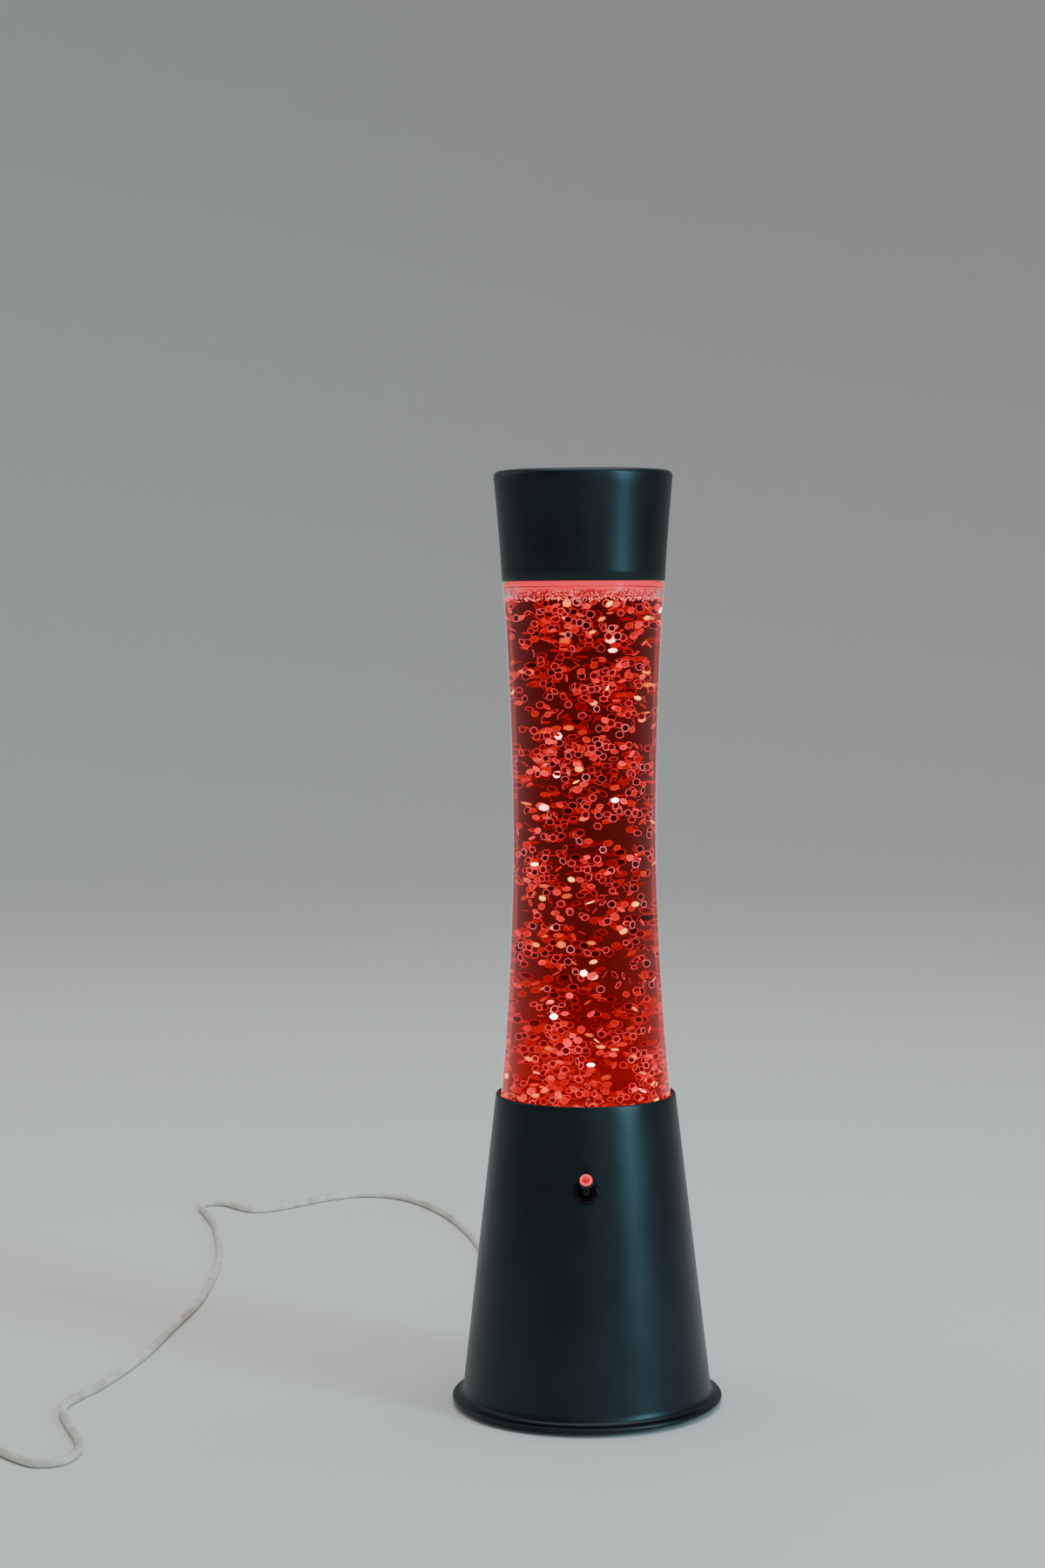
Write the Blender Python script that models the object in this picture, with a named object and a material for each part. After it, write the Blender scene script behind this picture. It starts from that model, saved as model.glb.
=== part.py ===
"""Glitter lamp on a tapered metal base: a bottle of red liquid over an LED light and a small
stirrer motor, under a metal cap. Units are metres, +Z is up, the lamp stands on z = 0, and
the switch faces -Y. Run it with: blender --background --python part.py"""

import math

import bmesh
import bpy
from mathutils import Euler, Vector

MM = 0.001
GAP = 0.3  # space kept between touching pieces, in millimetres

# ---------------------------------------------------------------- driving dimensions, in mm
OVERALL_HEIGHT = 400.0
WALL = 1.2  # spun aluminium

# Base: a cone with a small flared foot
FOOT_R, FOOT_Z = 58.2, 2.0
CONE_FOOT_R, CONE_FOOT_Z = 53.5, 6.6
RIM_R, RIM_Z = 38.6, 134.6
CONE_SLOPE = (CONE_FOOT_R - RIM_R) / (RIM_Z - CONE_FOOT_Z)
OPENING_R = 37.3  # where the bottle drops in

# Bottle: widest where it enters the base, a long waist, then a shoulder and a neck
BOTTLE_Z = 118.0
BOTTLE_SEAT_R = 36.4
GLASS = 2.6
FLOOR_GLASS = 3.6
WAIST_R, WAIST_Z = 30.55, 245.0
SWELL_LOW, SWELL_HIGH = 5.75, 3.75
SHOULDER_Z = 346.0
NECK_R, NECK_BORE_R, NECK_Z = 14.5, 11.6, 384.0
LIQUID_Z = 347.2

# Top cap
CAP_Z, CAP_LOW_R, CAP_HIGH_R, CAP_CORNER = 353.4, 34.7, 38.0, 2.4
CAP_WALL = 1.0

# Inner frame, under the bottle
DECK_Z, DECK_THICK, DECK_R, WINDOW_R = 112.0, 3.0, 39.0, 26.0
POST_PLACE_R, POST_R, POST_ANGLES = 34.0, 3.4, (-30.0, 90.0, 210.0)
BOSS_X, BOSS_R = 33.0, 3.2
COVER_Z, COVER_THICK, COVER_R = 3.2, 1.6, 51.2

# Light and drive
BRACKET_Z, BRACKET_THICK = 102.0, 1.7
BOARD_Z, BOARD_THICK, BOARD_R = 104.0, 1.6, 29.0
LED_COUNT, LED_PLACE_R, LED_SIDE, LED_THICK = 4, 20.5, 5.0, 1.6
MOTOR_R, MOTOR_Z, MOTOR_TOP = 12.0, 87.0, 101.7
SHAFT_R = 1.0
ROTOR_Z, ROTOR_THICK, ROTOR_R = 106.0, 2.9, 12.0
MAGNET_X, MAGNET_R, MAGNET_THICK = 7.4, 3.0, 1.6
STIRRER_Z, STIRRER_R, STIRRER_HIGH = 122.0, 12.5, 5.6

# Control board, over the bottom cover
CONTROL_Z, CONTROL_X, CONTROL_Y, CONTROL_THICK = 18.0, 38.0, 22.0, 1.6
STANDOFF_X = 14.0

# Switch, square to the cone's wall
SWITCH_Z = 100.0
SWITCH_TILT = 28.0  # degrees, lever against the wall's normal, up or down
BUSHING_R, BUSHING_BORE_R, BUSHING_TOP = 3.1, 2.5, 4.8
PIVOT_OUT = 3.6
LEVER_LENGTH, TIP_START, TIP_END, TIP_R = 9.8, 10.1, 13.2, 2.9
NUT_FLATS, NUT_LOW, NUT_HIGH = 9.6, 1.3, 3.5

# Cord: a thin low-voltage lead, 1.5 m long with its coil
CORD_D = 3.5
EXIT_ANGLE, EXIT_Z = 120.0, 11.0
RELIEF_LENGTH = 13.0
COIL_X, COIL_Y, COIL_R = -293.0, -72.0, 19.0
COIL_HALF_WIDTH, COIL_LOW, COIL_HIGH = 3.8, 1.1, 8.3
TIE_THICK, TIE_WIDE, TIE_SLACK, TIE_ANGLE = 0.8, 6.0, 0.8, 200.0
# The lead's way from its strain relief to the coil, in mm, as it lies on the table
CORD_ROUTE = [
    (-40, 70, 6.4), (-44, 82, 2.6), (-46, 104, 1.8), (-46, 150, 1.8), (-50, 220, 1.8),
    (-57, 290, 1.8), (-72, 350, 1.8), (-89, 391, 1.8), (-108, 417, 1.8), (-130, 424, 1.8),
    (-150, 413, 1.8), (-165, 397, 1.8), (-178, 385, 1.8), (-189, 382, 1.8),
    (-198, 390, 1.8), (-207, 400, 1.8), (-217, 400, 1.8), (-219, 388, 1.8),
    (-213, 368, 1.8), (-204, 335, 1.8), (-195, 280, 1.8), (-191, 230, 1.8),
    (-191, 170, 1.8), (-197, 115, 1.8), (-203, 65, 1.8), (-213, 20, 1.8),
    (-222, -5, 1.8), (-224, -20, 1.8), (-218, -42, 1.8), (-210, -64, 1.8),
    (-207, -82, 1.8), (-211, -95, 1.8), (-221, -98, 1.8), (-231, -90, 1.8),
    (-240, -80, 1.8), (-249, -73, 2.0), (-258, -68, 2.4), (-267, -64, 2.9),
]
CORD_POINTS = 78
PLUG_X, PLUG_Y, PLUG_Z = -306.0, -40.0, 3.8
PLUG_TURN = 172.0  # degrees, the way the plug points along the table

BIG, MEDIUM, SMALL = 32, 16, 10  # sides of turned pieces


# ---------------------------------------------------------------- helpers
def clear_scene():
    for item in list(bpy.data.objects):
        bpy.data.objects.remove(item, do_unlink=True)


def material(name, colour, roughness, metallic=0.0, alpha=1.0, glow=None):
    made = bpy.data.materials.new(name)
    made.use_nodes = True
    shader = made.node_tree.nodes["Principled BSDF"]
    shader.inputs["Base Color"].default_value = (*colour, 1.0)
    shader.inputs["Roughness"].default_value = roughness
    shader.inputs["Metallic"].default_value = metallic
    shader.inputs["Alpha"].default_value = alpha
    if glow:
        shader.inputs["Emission Color"].default_value = (*glow, 1.0)
        shader.inputs["Emission Strength"].default_value = 2.0
    return made


def add_object(name, mesh, look, place=(0, 0, 0), turn=(0, 0, 0), parent=None):
    """Link a mesh as a named piece; place is in mm and turn in degrees, under parent."""
    mesh.shade_smooth()
    mesh.set_sharp_from_angle(angle=math.radians(32))
    mesh.materials.append(look)
    piece = bpy.data.objects.new(name, mesh)
    bpy.context.collection.objects.link(piece)
    piece.location = Vector(place) * MM
    piece.rotation_euler = Euler([math.radians(a) for a in turn])
    piece.parent = parent
    return piece


def add_empty(name, place, turn=(0, 0, 0), parent=None):
    holder = bpy.data.objects.new(name, None)
    bpy.context.collection.objects.link(holder)
    holder.location = Vector(place) * MM
    holder.rotation_euler = Euler([math.radians(a) for a in turn])
    holder.parent = parent
    return holder


def finish_mesh(name, bm):
    bmesh.ops.recalc_face_normals(bm, faces=bm.faces)
    mesh = bpy.data.meshes.new(name)
    bm.to_mesh(mesh)
    bm.free()
    return mesh


def turned(name, outline, sides):
    """Spin a closed outline of (radius, height) points about Z. A point of radius 0 is the tip
    of a cone, or closes a flat end when its neighbour has the same height."""
    bm = bmesh.new()
    rings = []
    for radius, height in outline:
        flat = radius == 0 and any(h == height and r > 0 for r, h in outline)
        count = 0 if flat else 1 if radius == 0 else sides
        spots = [(radius * math.cos(a), radius * math.sin(a), height)
                 for a in (2 * math.pi * k / sides for k in range(count))]
        rings.append([bm.verts.new(Vector(spot) * MM) for spot in spots])
    for here, there in zip(rings, rings[1:] + rings[:1]):
        if len(here) < 2 and len(there) < 2:
            continue
        if not here or not there:
            bm.faces.new(here or there)
            continue
        for k in range(sides):
            n = (k + 1) % sides
            if len(here) == 1:
                bm.faces.new((here[0], there[k], there[n]))
            elif len(there) == 1:
                bm.faces.new((here[k], here[n], there[0]))
            else:
                bm.faces.new((here[k], here[n], there[n], there[k]))
    return finish_mesh(name, bm)


def rod(name, radius, low, high, sides=SMALL):
    return turned(name, [(0, low), (radius, low), (radius, high), (0, high)], sides)


def ring(name, inner, outer, low, high, sides=MEDIUM):
    return turned(name, [(inner, low), (outer, low), (outer, high), (inner, high)], sides)


def block(name, size, centre=(0, 0, 0), bevel=0.0):
    bm = bmesh.new()
    bmesh.ops.create_cube(bm, size=1.0)
    for vert in bm.verts:
        vert.co = Vector(c + v * s for v, s, c in zip(vert.co, size, centre)) * MM
    if bevel:
        bmesh.ops.bevel(bm, geom=bm.edges[:], offset=bevel * MM, segments=1, affect="EDGES")
    return finish_mesh(name, bm)


def cut_or_join(piece, tools, operation):
    """Boolean each helper mesh with the piece; every tool is (name, mesh, place, turn, parent)."""
    for name, mesh, place, turn, parent in tools:
        tool = add_object(name, mesh, piece.data.materials[0], place, turn, parent)
        tool.hide_render = True
        tool.display_type = "WIRE"
        step = piece.modifiers.new(name, "BOOLEAN")
        step.operation = operation
        step.solver = "EXACT"
        step.object = tool


def drill(piece, name, radius, low, high, spots):
    """Round holes along Z at the given (x, y) spots."""
    tools = [(f"{name}_{k}", rod(name, radius, low, high), (x, y, 0), (0, 0, 11), None)
             for k, (x, y) in enumerate(spots)]
    cut_or_join(piece, tools, "DIFFERENCE")


def around(radius, angles):
    return [(radius * math.cos(math.radians(a)), radius * math.sin(math.radians(a)))
            for a in angles]


def smooth_points(route, count):
    """Evenly spaced points on a Catmull-Rom curve through the route."""
    knots = [Vector(p) for p in route]
    knots = [2 * knots[0] - knots[1], *knots, 2 * knots[-1] - knots[-2]]
    fine = []
    for a, b, c, d in zip(knots, knots[1:], knots[2:], knots[3:]):
        for k in range(24):
            t = k / 24
            fine.append(0.5 * (2 * b + (c - a) * t + (2 * a - 5 * b + 4 * c - d) * t ** 2
                               + (3 * b - a - 3 * c + d) * t ** 3))
    fine.append(knots[-2])
    run = [0.0]
    for a, b in zip(fine, fine[1:]):
        run.append(run[-1] + (b - a).length)
    points, k = [], 0
    for n in range(count):
        target = run[-1] * n / (count - 1)
        while k < len(run) - 2 and run[k + 1] < target:
            k += 1
        share = (target - run[k]) / (run[k + 1] - run[k])
        points.append(fine[k].lerp(fine[k + 1], min(share, 1.0)))
    return points


def tube(name, points, diameter, look):
    curve = bpy.data.curves.new(name, "CURVE")
    curve.dimensions = "3D"
    curve.bevel_depth = diameter / 2 * MM
    curve.bevel_resolution = 2
    curve.use_fill_caps = True
    spline = curve.splines.new("POLY")
    spline.points.add(len(points) - 1)
    for place, point in zip(points, spline.points):
        point.co = (*(Vector(place) * MM), 1.0)
    curve.materials.append(look)
    piece = bpy.data.objects.new(name, curve)
    bpy.context.collection.objects.link(piece)
    return piece


# ---------------------------------------------------------------- outlines
def cone_r(z):
    """Outer radius of the base's wall."""
    return RIM_R + CONE_SLOPE * (RIM_Z - z)


def bottle_r(z):
    """Outer radius of the bottle between the base and the shoulder."""
    if z < WAIST_Z:
        share = (WAIST_Z - z) / (WAIST_Z - 135.0)
        return min(BOTTLE_SEAT_R, WAIST_R + SWELL_LOW * share ** 1.7)
    share = (z - WAIST_Z) / (SHOULDER_Z + 7.0 - WAIST_Z)
    return WAIST_R + SWELL_HIGH * share ** 1.9


def cap_r(z):
    """Outer radius of the cap: it widens a little faster towards the top."""
    share = (z - CAP_Z) / (OVERALL_HEIGHT - CAP_CORNER - CAP_Z)
    return CAP_LOW_R + (CAP_HIGH_R - CAP_LOW_R) * share ** 1.25


def even(low, high, count):
    return [low + (high - low) * k / (count - 1) for k in range(count)]


def bottle_heights():
    """The heights where the bottle's outside, its inside and the liquid all take their radii."""
    return [128.0] + even(137.0, SHOULDER_Z, 8)


# ---------------------------------------------------------------- base
def make_base_shell():
    metal = material("anodised_aluminium_base", (0.10, 0.12, 0.13), 0.32, 1.0)
    outer = [(OPENING_R + 0.5, RIM_Z), (RIM_R - 0.3, RIM_Z), (RIM_R + 0.05, RIM_Z - 0.5)]
    outer += [(CONE_FOOT_R, CONE_FOOT_Z), (54.2, 5.0), (55.8, 4.1), (57.4, 3.8),
              (FOOT_R, 3.2), (FOOT_R - 0.1, 2.4), (FOOT_R - 0.8, FOOT_Z)]
    inner = [(55.4, FOOT_Z), (53.6, 2.9), (CONE_FOOT_R - WALL, CONE_FOOT_Z - 0.4),
             (RIM_R - WALL, RIM_Z - 3.0), (OPENING_R, RIM_Z - 1.6), (OPENING_R, RIM_Z - 0.5)]
    shell = add_object("base_shell", turned("base_shell", outer + inner, BIG), metal)
    hole = rod("switch_hole", 3.5, -6, 6, 24)
    cut_or_join(shell, [("switch_hole_cut", hole, (0, 0, 0), (0, 0, 0), SWITCH_FRAME)],
                "DIFFERENCE")
    bore = rod("cord_hole", 3.3, -6, 6, 24)
    cut_or_join(shell, [("cord_hole_cut", bore, (0, 0, 0), (0, 0, 0), EXIT_FRAME)],
                "DIFFERENCE")
    return shell


def make_bottom_cover():
    plastic = material("moulded_abs_cover", (0.02, 0.02, 0.022), 0.55)
    top = COVER_Z + COVER_THICK
    cover = add_object("bottom_cover", rod("bottom_cover", COVER_R, COVER_Z, top, BIG), plastic)
    bosses = [(f"cover_boss_{k}", rod("boss", 3.0, COVER_Z + 0.5, CONTROL_Z - GAP, 16),
               (x, 0, 0), (0, 0, 0), None) for k, x in enumerate((-STANDOFF_X, STANDOFF_X))]
    cut_or_join(cover, bosses, "UNION")
    drill(cover, "boss_bore", 1.3, 9.0, 20.0, [(-STANDOFF_X, 0), (STANDOFF_X, 0)])
    drill(cover, "cover_hole", 1.9, 0.0, 8.0, around(POST_PLACE_R, POST_ANGLES))


def make_feet():
    rubber = material("rubber_feet", (0.015, 0.015, 0.015), 0.8)
    outline = [(0, 0), (5.4, 0), (6.0, 0.6), (6.0, COVER_Z - GAP), (0, COVER_Z - GAP)]
    for k, (x, y) in enumerate(around(41.0, (45, 135, 225, 315)), 1):
        name = f"foot_pad_{k}"
        add_object(name, turned(name, outline, MEDIUM), rubber, (x, y, 0))


def make_screw(name, look, spot, seat, length, head_r, shank_r, up=True):
    """A pan-head screw whose head's underside is at height seat; up says which way it goes in."""
    way = 1 if up else -1
    outline = [(0, -1.7), (head_r * 0.7, -1.7), (head_r, -1.0), (head_r, 0), (shank_r, 0),
               (shank_r, length - 0.8), (0, length)]
    outline = [(r, way * h) for r, h in outline]
    add_object(name, turned(name, outline, SMALL), look, (*spot, seat))


def make_inner_frame():
    plastic = material("moulded_abs_frame", (0.75, 0.75, 0.73), 0.5)
    plate = ring("inner_frame", WINDOW_R, DECK_R, DECK_Z, DECK_Z + DECK_THICK, BIG)
    frame = add_object("inner_frame", plate, plastic)
    low = COVER_Z + COVER_THICK + GAP
    posts = [(f"frame_post_{k}", rod("post", POST_R, low, DECK_Z + 1, 16), (x, y, 0),
              (0, 0, 0), None)
             for k, (x, y) in enumerate(around(POST_PLACE_R, POST_ANGLES))]
    bosses = [(f"frame_boss_{k}", rod("boss", BOSS_R, BOARD_Z, DECK_Z + 1, 16), (x, 0, 0),
               (0, 0, 0), None) for k, x in enumerate((-BOSS_X, BOSS_X))]
    cut_or_join(frame, posts + bosses, "UNION")
    drill(frame, "post_bore", 1.6, 0.0, 17.0, around(POST_PLACE_R, POST_ANGLES))
    drill(frame, "boss_hole", 1.6, 100.0, 111.0, [(-BOSS_X, 0), (BOSS_X, 0)])


def make_seat_gasket():
    rubber = material("rubber_gasket", (0.03, 0.03, 0.03), 0.7)
    low, high = DECK_Z + DECK_THICK + GAP, BOTTLE_Z - GAP
    add_object("seat_gasket", ring("seat_gasket", 27.0, 34.5, low, high, BIG), rubber)


# ---------------------------------------------------------------- light and drive
def make_light():
    board_look = material("led_board_mask", (0.8, 0.82, 0.8), 0.35)
    emitter = material("led_emitter", (0.95, 0.85, 0.55), 0.3, glow=(1.0, 0.75, 0.5))
    white = material("reflector_white", (0.9, 0.9, 0.88), 0.6)
    frosted = material("diffuser_frosted", (0.9, 0.9, 0.9), 0.5, alpha=0.6)
    top = BOARD_Z + BOARD_THICK
    add_object("led_board", ring("led_board", 14.0, BOARD_R, BOARD_Z, top, BIG), board_look)
    for k in range(LED_COUNT):
        angle = 45.0 + 360.0 * k / LED_COUNT
        (x, y), = around(LED_PLACE_R, (angle,))
        middle = (0, 0, top + GAP + LED_THICK / 2)
        name = f"led_{k + 1}"
        add_object(name, block(name, (LED_SIDE, LED_SIDE, LED_THICK), middle), emitter,
                   (x, y, 0), (0, 0, angle))
    reflector = ring("reflector_ring", 26.8, 29.3, top + GAP, 109.5, BIG)
    add_object("reflector_ring", reflector, white)
    lens = rod("diffuser_lens", 29.3, 109.8, DECK_Z - GAP, BIG)
    add_object("diffuser_lens", lens, frosted)


def make_motor():
    steel = material("plated_steel_can", (0.55, 0.56, 0.58), 0.3, 1.0)
    zinc = material("zinc_plated_bracket", (0.6, 0.62, 0.62), 0.4, 1.0)
    nylon = material("motor_nylon_cap", (0.85, 0.85, 0.82), 0.5)
    can = [(0, MOTOR_Z), (MOTOR_R, MOTOR_Z), (MOTOR_R, MOTOR_TOP), (3.2, MOTOR_TOP),
           (3.2, 103.0), (1.4, 103.0), (1.4, 88.7), (0, 88.7)]
    motor = add_object("motor_can", turned("motor_can", can, MEDIUM), steel)
    drill(motor, "motor_thread", 1.3, 98.4, 104.0, [(-8, 0), (8, 0)])
    end = rod("motor_end_cap", 11.4, 84.9, MOTOR_Z - GAP, MEDIUM)
    add_object("motor_end_cap", end, nylon)
    middle = (0, 0, BRACKET_Z + BRACKET_THICK / 2)
    strip = block("motor_bracket", (76.0, 16.0, BRACKET_THICK), middle)
    bracket = add_object("motor_bracket", strip, zinc)
    drill(bracket, "bracket_centre", 3.8, 100.0, 105.0, [(0, 0)])
    drill(bracket, "bracket_hole", 1.4, 100.0, 105.0, [(-8, 0), (8, 0)])
    drill(bracket, "bracket_end_hole", 1.7, 100.0, 105.0, [(-BOSS_X, 0), (BOSS_X, 0)])


def make_rotor():
    steel = material("ground_steel_shaft", (0.6, 0.6, 0.62), 0.2, 1.0)
    acetal = material("moulded_acetal_rotor", (0.8, 0.8, 0.78), 0.45)
    nickel = material("nickel_magnet", (0.65, 0.64, 0.62), 0.2, 1.0)
    add_object("motor_shaft", rod("motor_shaft", SHAFT_R, 89.0, 108.4), steel)
    top = ROTOR_Z + ROTOR_THICK
    disc = ring("magnet_rotor", 1.4, ROTOR_R, ROTOR_Z, top)
    rotor = add_object("magnet_rotor", disc, acetal)
    spots = [(-MAGNET_X, 0), (MAGNET_X, 0)]
    drill(rotor, "magnet_pocket", MAGNET_R + GAP, top - MAGNET_THICK - GAP, top + 2, spots)
    for k, (x, y) in enumerate(spots, 1):
        name = f"rotor_magnet_{k}"
        low = top - MAGNET_THICK
        add_object(name, rod(name, MAGNET_R, low, top, 16), nickel, (x, y, 0))


def make_control_board():
    mask = material("control_board_mask", (0.03, 0.22, 0.08), 0.4)
    black = material("connector_black", (0.03, 0.03, 0.03), 0.4)
    top = CONTROL_Z + CONTROL_THICK
    middle = (0, 0, CONTROL_Z + CONTROL_THICK / 2)
    slab = block("control_board", (CONTROL_X, CONTROL_Y, CONTROL_THICK), middle)
    board = add_object("control_board", slab, mask)
    drill(board, "board_hole", 1.3, 15.0, 22.0, [(-STANDOFF_X, 0), (STANDOFF_X, 0)])
    connector = block("lead_connector", (9.0, 5.0, 5.5), (-6.0, 7.0, top + GAP + 2.75), 0.4)
    add_object("lead_connector", connector, black)


def make_screws():
    steel = material("zinc_plated_screw", (0.6, 0.6, 0.6), 0.35, 1.0)
    for k, spot in enumerate(around(POST_PLACE_R, POST_ANGLES), 1):
        make_screw(f"cover_screw_{k}", steel, spot, COVER_Z - GAP, 11.0, 3.0, 1.3)
    for k, x in enumerate((-BOSS_X, BOSS_X), 1):
        make_screw(f"bracket_screw_{k}", steel, (x, 0), BRACKET_Z - GAP, 8.0, 2.6, 1.2)
    for k, x in enumerate((-8.0, 8.0), 1):
        seat = BRACKET_Z + BRACKET_THICK + GAP
        make_screw(f"motor_screw_{k}", steel, (x, 0), seat, 5.0, 1.9, 0.9, up=False)
    for k, x in enumerate((-STANDOFF_X, STANDOFF_X), 1):
        seat = CONTROL_Z + CONTROL_THICK + GAP
        make_screw(f"board_screw_{k}", steel, (x, 0), seat, 9.0, 2.2, 0.9, up=False)


# ---------------------------------------------------------------- switch
def make_switch():
    black = material("switch_phenolic", (0.03, 0.03, 0.03), 0.5)
    plated = material("switch_black_plated", (0.06, 0.06, 0.065), 0.35, 1.0)
    silver = material("switch_silver_terminal", (0.7, 0.7, 0.68), 0.3, 1.0)
    back = -WALL - 3 * GAP
    body = block("switch_body", (8.0, 12.8, 9.0), (0, 0, back - 4.5), 0.4)
    add_object("switch_body", body, black, parent=SWITCH_FRAME)
    for k in range(3):
        name = f"switch_terminal_{k + 1}"
        spot = (0, (k - 1) * 4.4, back - 9.0 - GAP - 1.7)
        add_object(name, block(name, (2.0, 0.8, 3.4), spot), silver, parent=SWITCH_FRAME)
    collar = [(0, back + GAP), (BUSHING_R, back + GAP), (BUSHING_R, BUSHING_TOP - 0.3),
              (BUSHING_R - 0.3, BUSHING_TOP), (BUSHING_BORE_R, BUSHING_TOP),
              (BUSHING_BORE_R, 1.2), (0, 1.2)]
    add_object("switch_bushing", turned("switch_bushing", collar, MEDIUM), plated,
               parent=SWITCH_FRAME)
    washer = ring("switch_washer", 3.4, 5.4, 0.35, 1.0)
    add_object("switch_washer", washer, plated, parent=SWITCH_FRAME)
    corner = NUT_FLATS / 2 / math.cos(math.pi / 6)
    outline = [(3.4, NUT_LOW), (corner - 0.4, NUT_LOW), (corner, NUT_LOW + 0.3),
               (corner, NUT_HIGH - 0.3), (corner - 0.4, NUT_HIGH), (3.4, NUT_HIGH)]
    nut = turned("switch_nut", [(r, z) for r, z in outline], 6)
    nut_piece = add_object("switch_nut", nut, plated, parent=SWITCH_FRAME)
    bore = rod("nut_bore", 3.4, 0, 5, 24)
    cut_or_join(nut_piece, [("nut_bore_cut", bore, (0, 0, 0), (0, 0, 0), SWITCH_FRAME)],
                "DIFFERENCE")


def make_toggle():
    black = material("toggle_black_nylon", (0.02, 0.02, 0.02), 0.4)
    red = material("toggle_red_tip", (0.8, 0.02, 0.02), 0.2, glow=(1.0, 0.03, 0.02))
    lever = [(0, -1.7), (1.1, -1.3), (1.7, -0.5), (1.7, 0.5), (1.3, 1.2), (1.3, 2.6),
             (2.3, 8.2), (2.3, LEVER_LENGTH), (0, LEVER_LENGTH)]
    add_object("toggle_lever", turned("toggle_lever", lever, MEDIUM), black,
               parent=TOGGLE_FRAME)
    tip = [(0, TIP_START), (TIP_R, TIP_START), (TIP_R, TIP_END - 0.9),
           (TIP_R * 0.8, TIP_END - 0.25), (0, TIP_END)]
    add_object("toggle_tip", turned("toggle_tip", tip, MEDIUM), red, parent=TOGGLE_FRAME)


# ---------------------------------------------------------------- bottle
SHOULDER = [(34.1, 349.0), (33.2, 352.2), (30.6, 356.0), (26.0, 359.2), (19.0, 363.4),
            (15.4, 368.0), (NECK_R, 373.0)]


def make_bottle():
    glass = material("clear_glass", (0.95, 0.9, 0.9), 0.03, alpha=0.3)
    walls = bottle_heights()
    outside = [(0, BOTTLE_Z), (32.5, BOTTLE_Z), (35.3, BOTTLE_Z + 1.4),
               (BOTTLE_SEAT_R, BOTTLE_Z + 4.6)]
    outside += [(bottle_r(z), z) for z in walls] + SHOULDER + [(NECK_R, NECK_Z)]
    inside = [(NECK_BORE_R, NECK_Z)]
    inside += [(max(r - GLASS, NECK_BORE_R), z - 1.6) for r, z in reversed(SHOULDER)]
    inside += [(bottle_r(z) - GLASS, z) for z in reversed(walls)]
    inside += [(31.0, BOTTLE_Z + FLOOR_GLASS), (0, BOTTLE_Z + FLOOR_GLASS)]
    bottle = turned("bottle_glass", outside + inside, BIG)
    add_object("bottle_glass", bottle, glass)


def make_liquid():
    red = material("red_liquid", (0.75, 0.02, 0.03), 0.05, alpha=0.6, glow=(0.9, 0.02, 0.02))
    low = BOTTLE_Z + FLOOR_GLASS + GAP
    skin = GLASS + GAP
    walls = bottle_heights()
    outline = [(30.6, low)] + [(bottle_r(z) - skin, z) for z in walls]
    outline += [(31.0, LIQUID_Z), (0, LIQUID_Z), (0, 129.0), (15.2, 129.0), (15.2, low)]
    add_object("red_liquid", turned("red_liquid", outline, BIG), red)


def make_stirrer():
    plastic = material("clear_stirrer", (0.85, 0.8, 0.8), 0.2, alpha=0.7)
    low, high = STIRRER_Z, STIRRER_Z + STIRRER_HIGH
    disc = [(0, low), (3.0, low), (3.0, low + 0.6), (STIRRER_R, low + 0.6),
            (STIRRER_R, low + 2.4), (0, low + 2.4)]
    stirrer = add_object("stirrer", turned("stirrer", disc, MEDIUM), plastic)
    vanes = []
    for k in range(2):
        size = (2 * STIRRER_R - 3, 1.4, high - low - 1.2)
        vane = block("vane", size, (0, 0, (low + 1.2 + high) / 2))
        vanes.append((f"stirrer_vane_{k}", vane, (0, 0, 0), (0, 0, 90 * k), None))
    cut_or_join(stirrer, vanes, "UNION")


def make_closure():
    plastic = material("moulded_pp_closure", (0.03, 0.03, 0.03), 0.5)
    foam = material("closure_liner_foam", (0.85, 0.85, 0.82), 0.9)
    cap = [(0, 385.6), (NECK_R + 0.5, 385.6), (NECK_R + 0.5, 374.0), (17.2, 374.0),
           (17.2, 386.6), (16.4, 387.4), (0, 387.4)]
    add_object("bottle_closure", turned("bottle_closure", cap, BIG), plastic)
    liner = rod("closure_liner", 14.2, NECK_Z + GAP, 385.3, MEDIUM)
    add_object("closure_liner", liner, foam)


def make_top_cap():
    metal = material("anodised_aluminium_cap", (0.10, 0.12, 0.13), 0.32, 1.0)
    felt = material("cap_cushion_foam", (0.04, 0.04, 0.04), 0.95)
    top = OVERALL_HEIGHT
    wall_heights = even(CAP_Z, top - CAP_CORNER, 5)
    outside = [(cap_r(z), z) for z in wall_heights]
    for k in (1, 2, 3):
        angle = math.radians(30 * k)
        outside.append((CAP_HIGH_R - CAP_CORNER * (1 - math.cos(angle)),
                        top - CAP_CORNER * (1 - math.sin(angle))))
    outside.append((0, top))
    inside = [(0, top - CAP_WALL)]
    inside += [(CAP_HIGH_R - CAP_CORNER, top - CAP_WALL)]
    inside += [(cap_r(z) - CAP_WALL, z) for z in reversed(wall_heights)]
    add_object("top_cap", turned("top_cap", outside + inside, BIG), metal)
    cushion = [(33.2, 355.6), (33.2, 361.0), (28.0, 361.0), (28.0, 358.7)]
    add_object("cap_cushion", turned("cap_cushion", cushion, BIG), felt)


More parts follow.
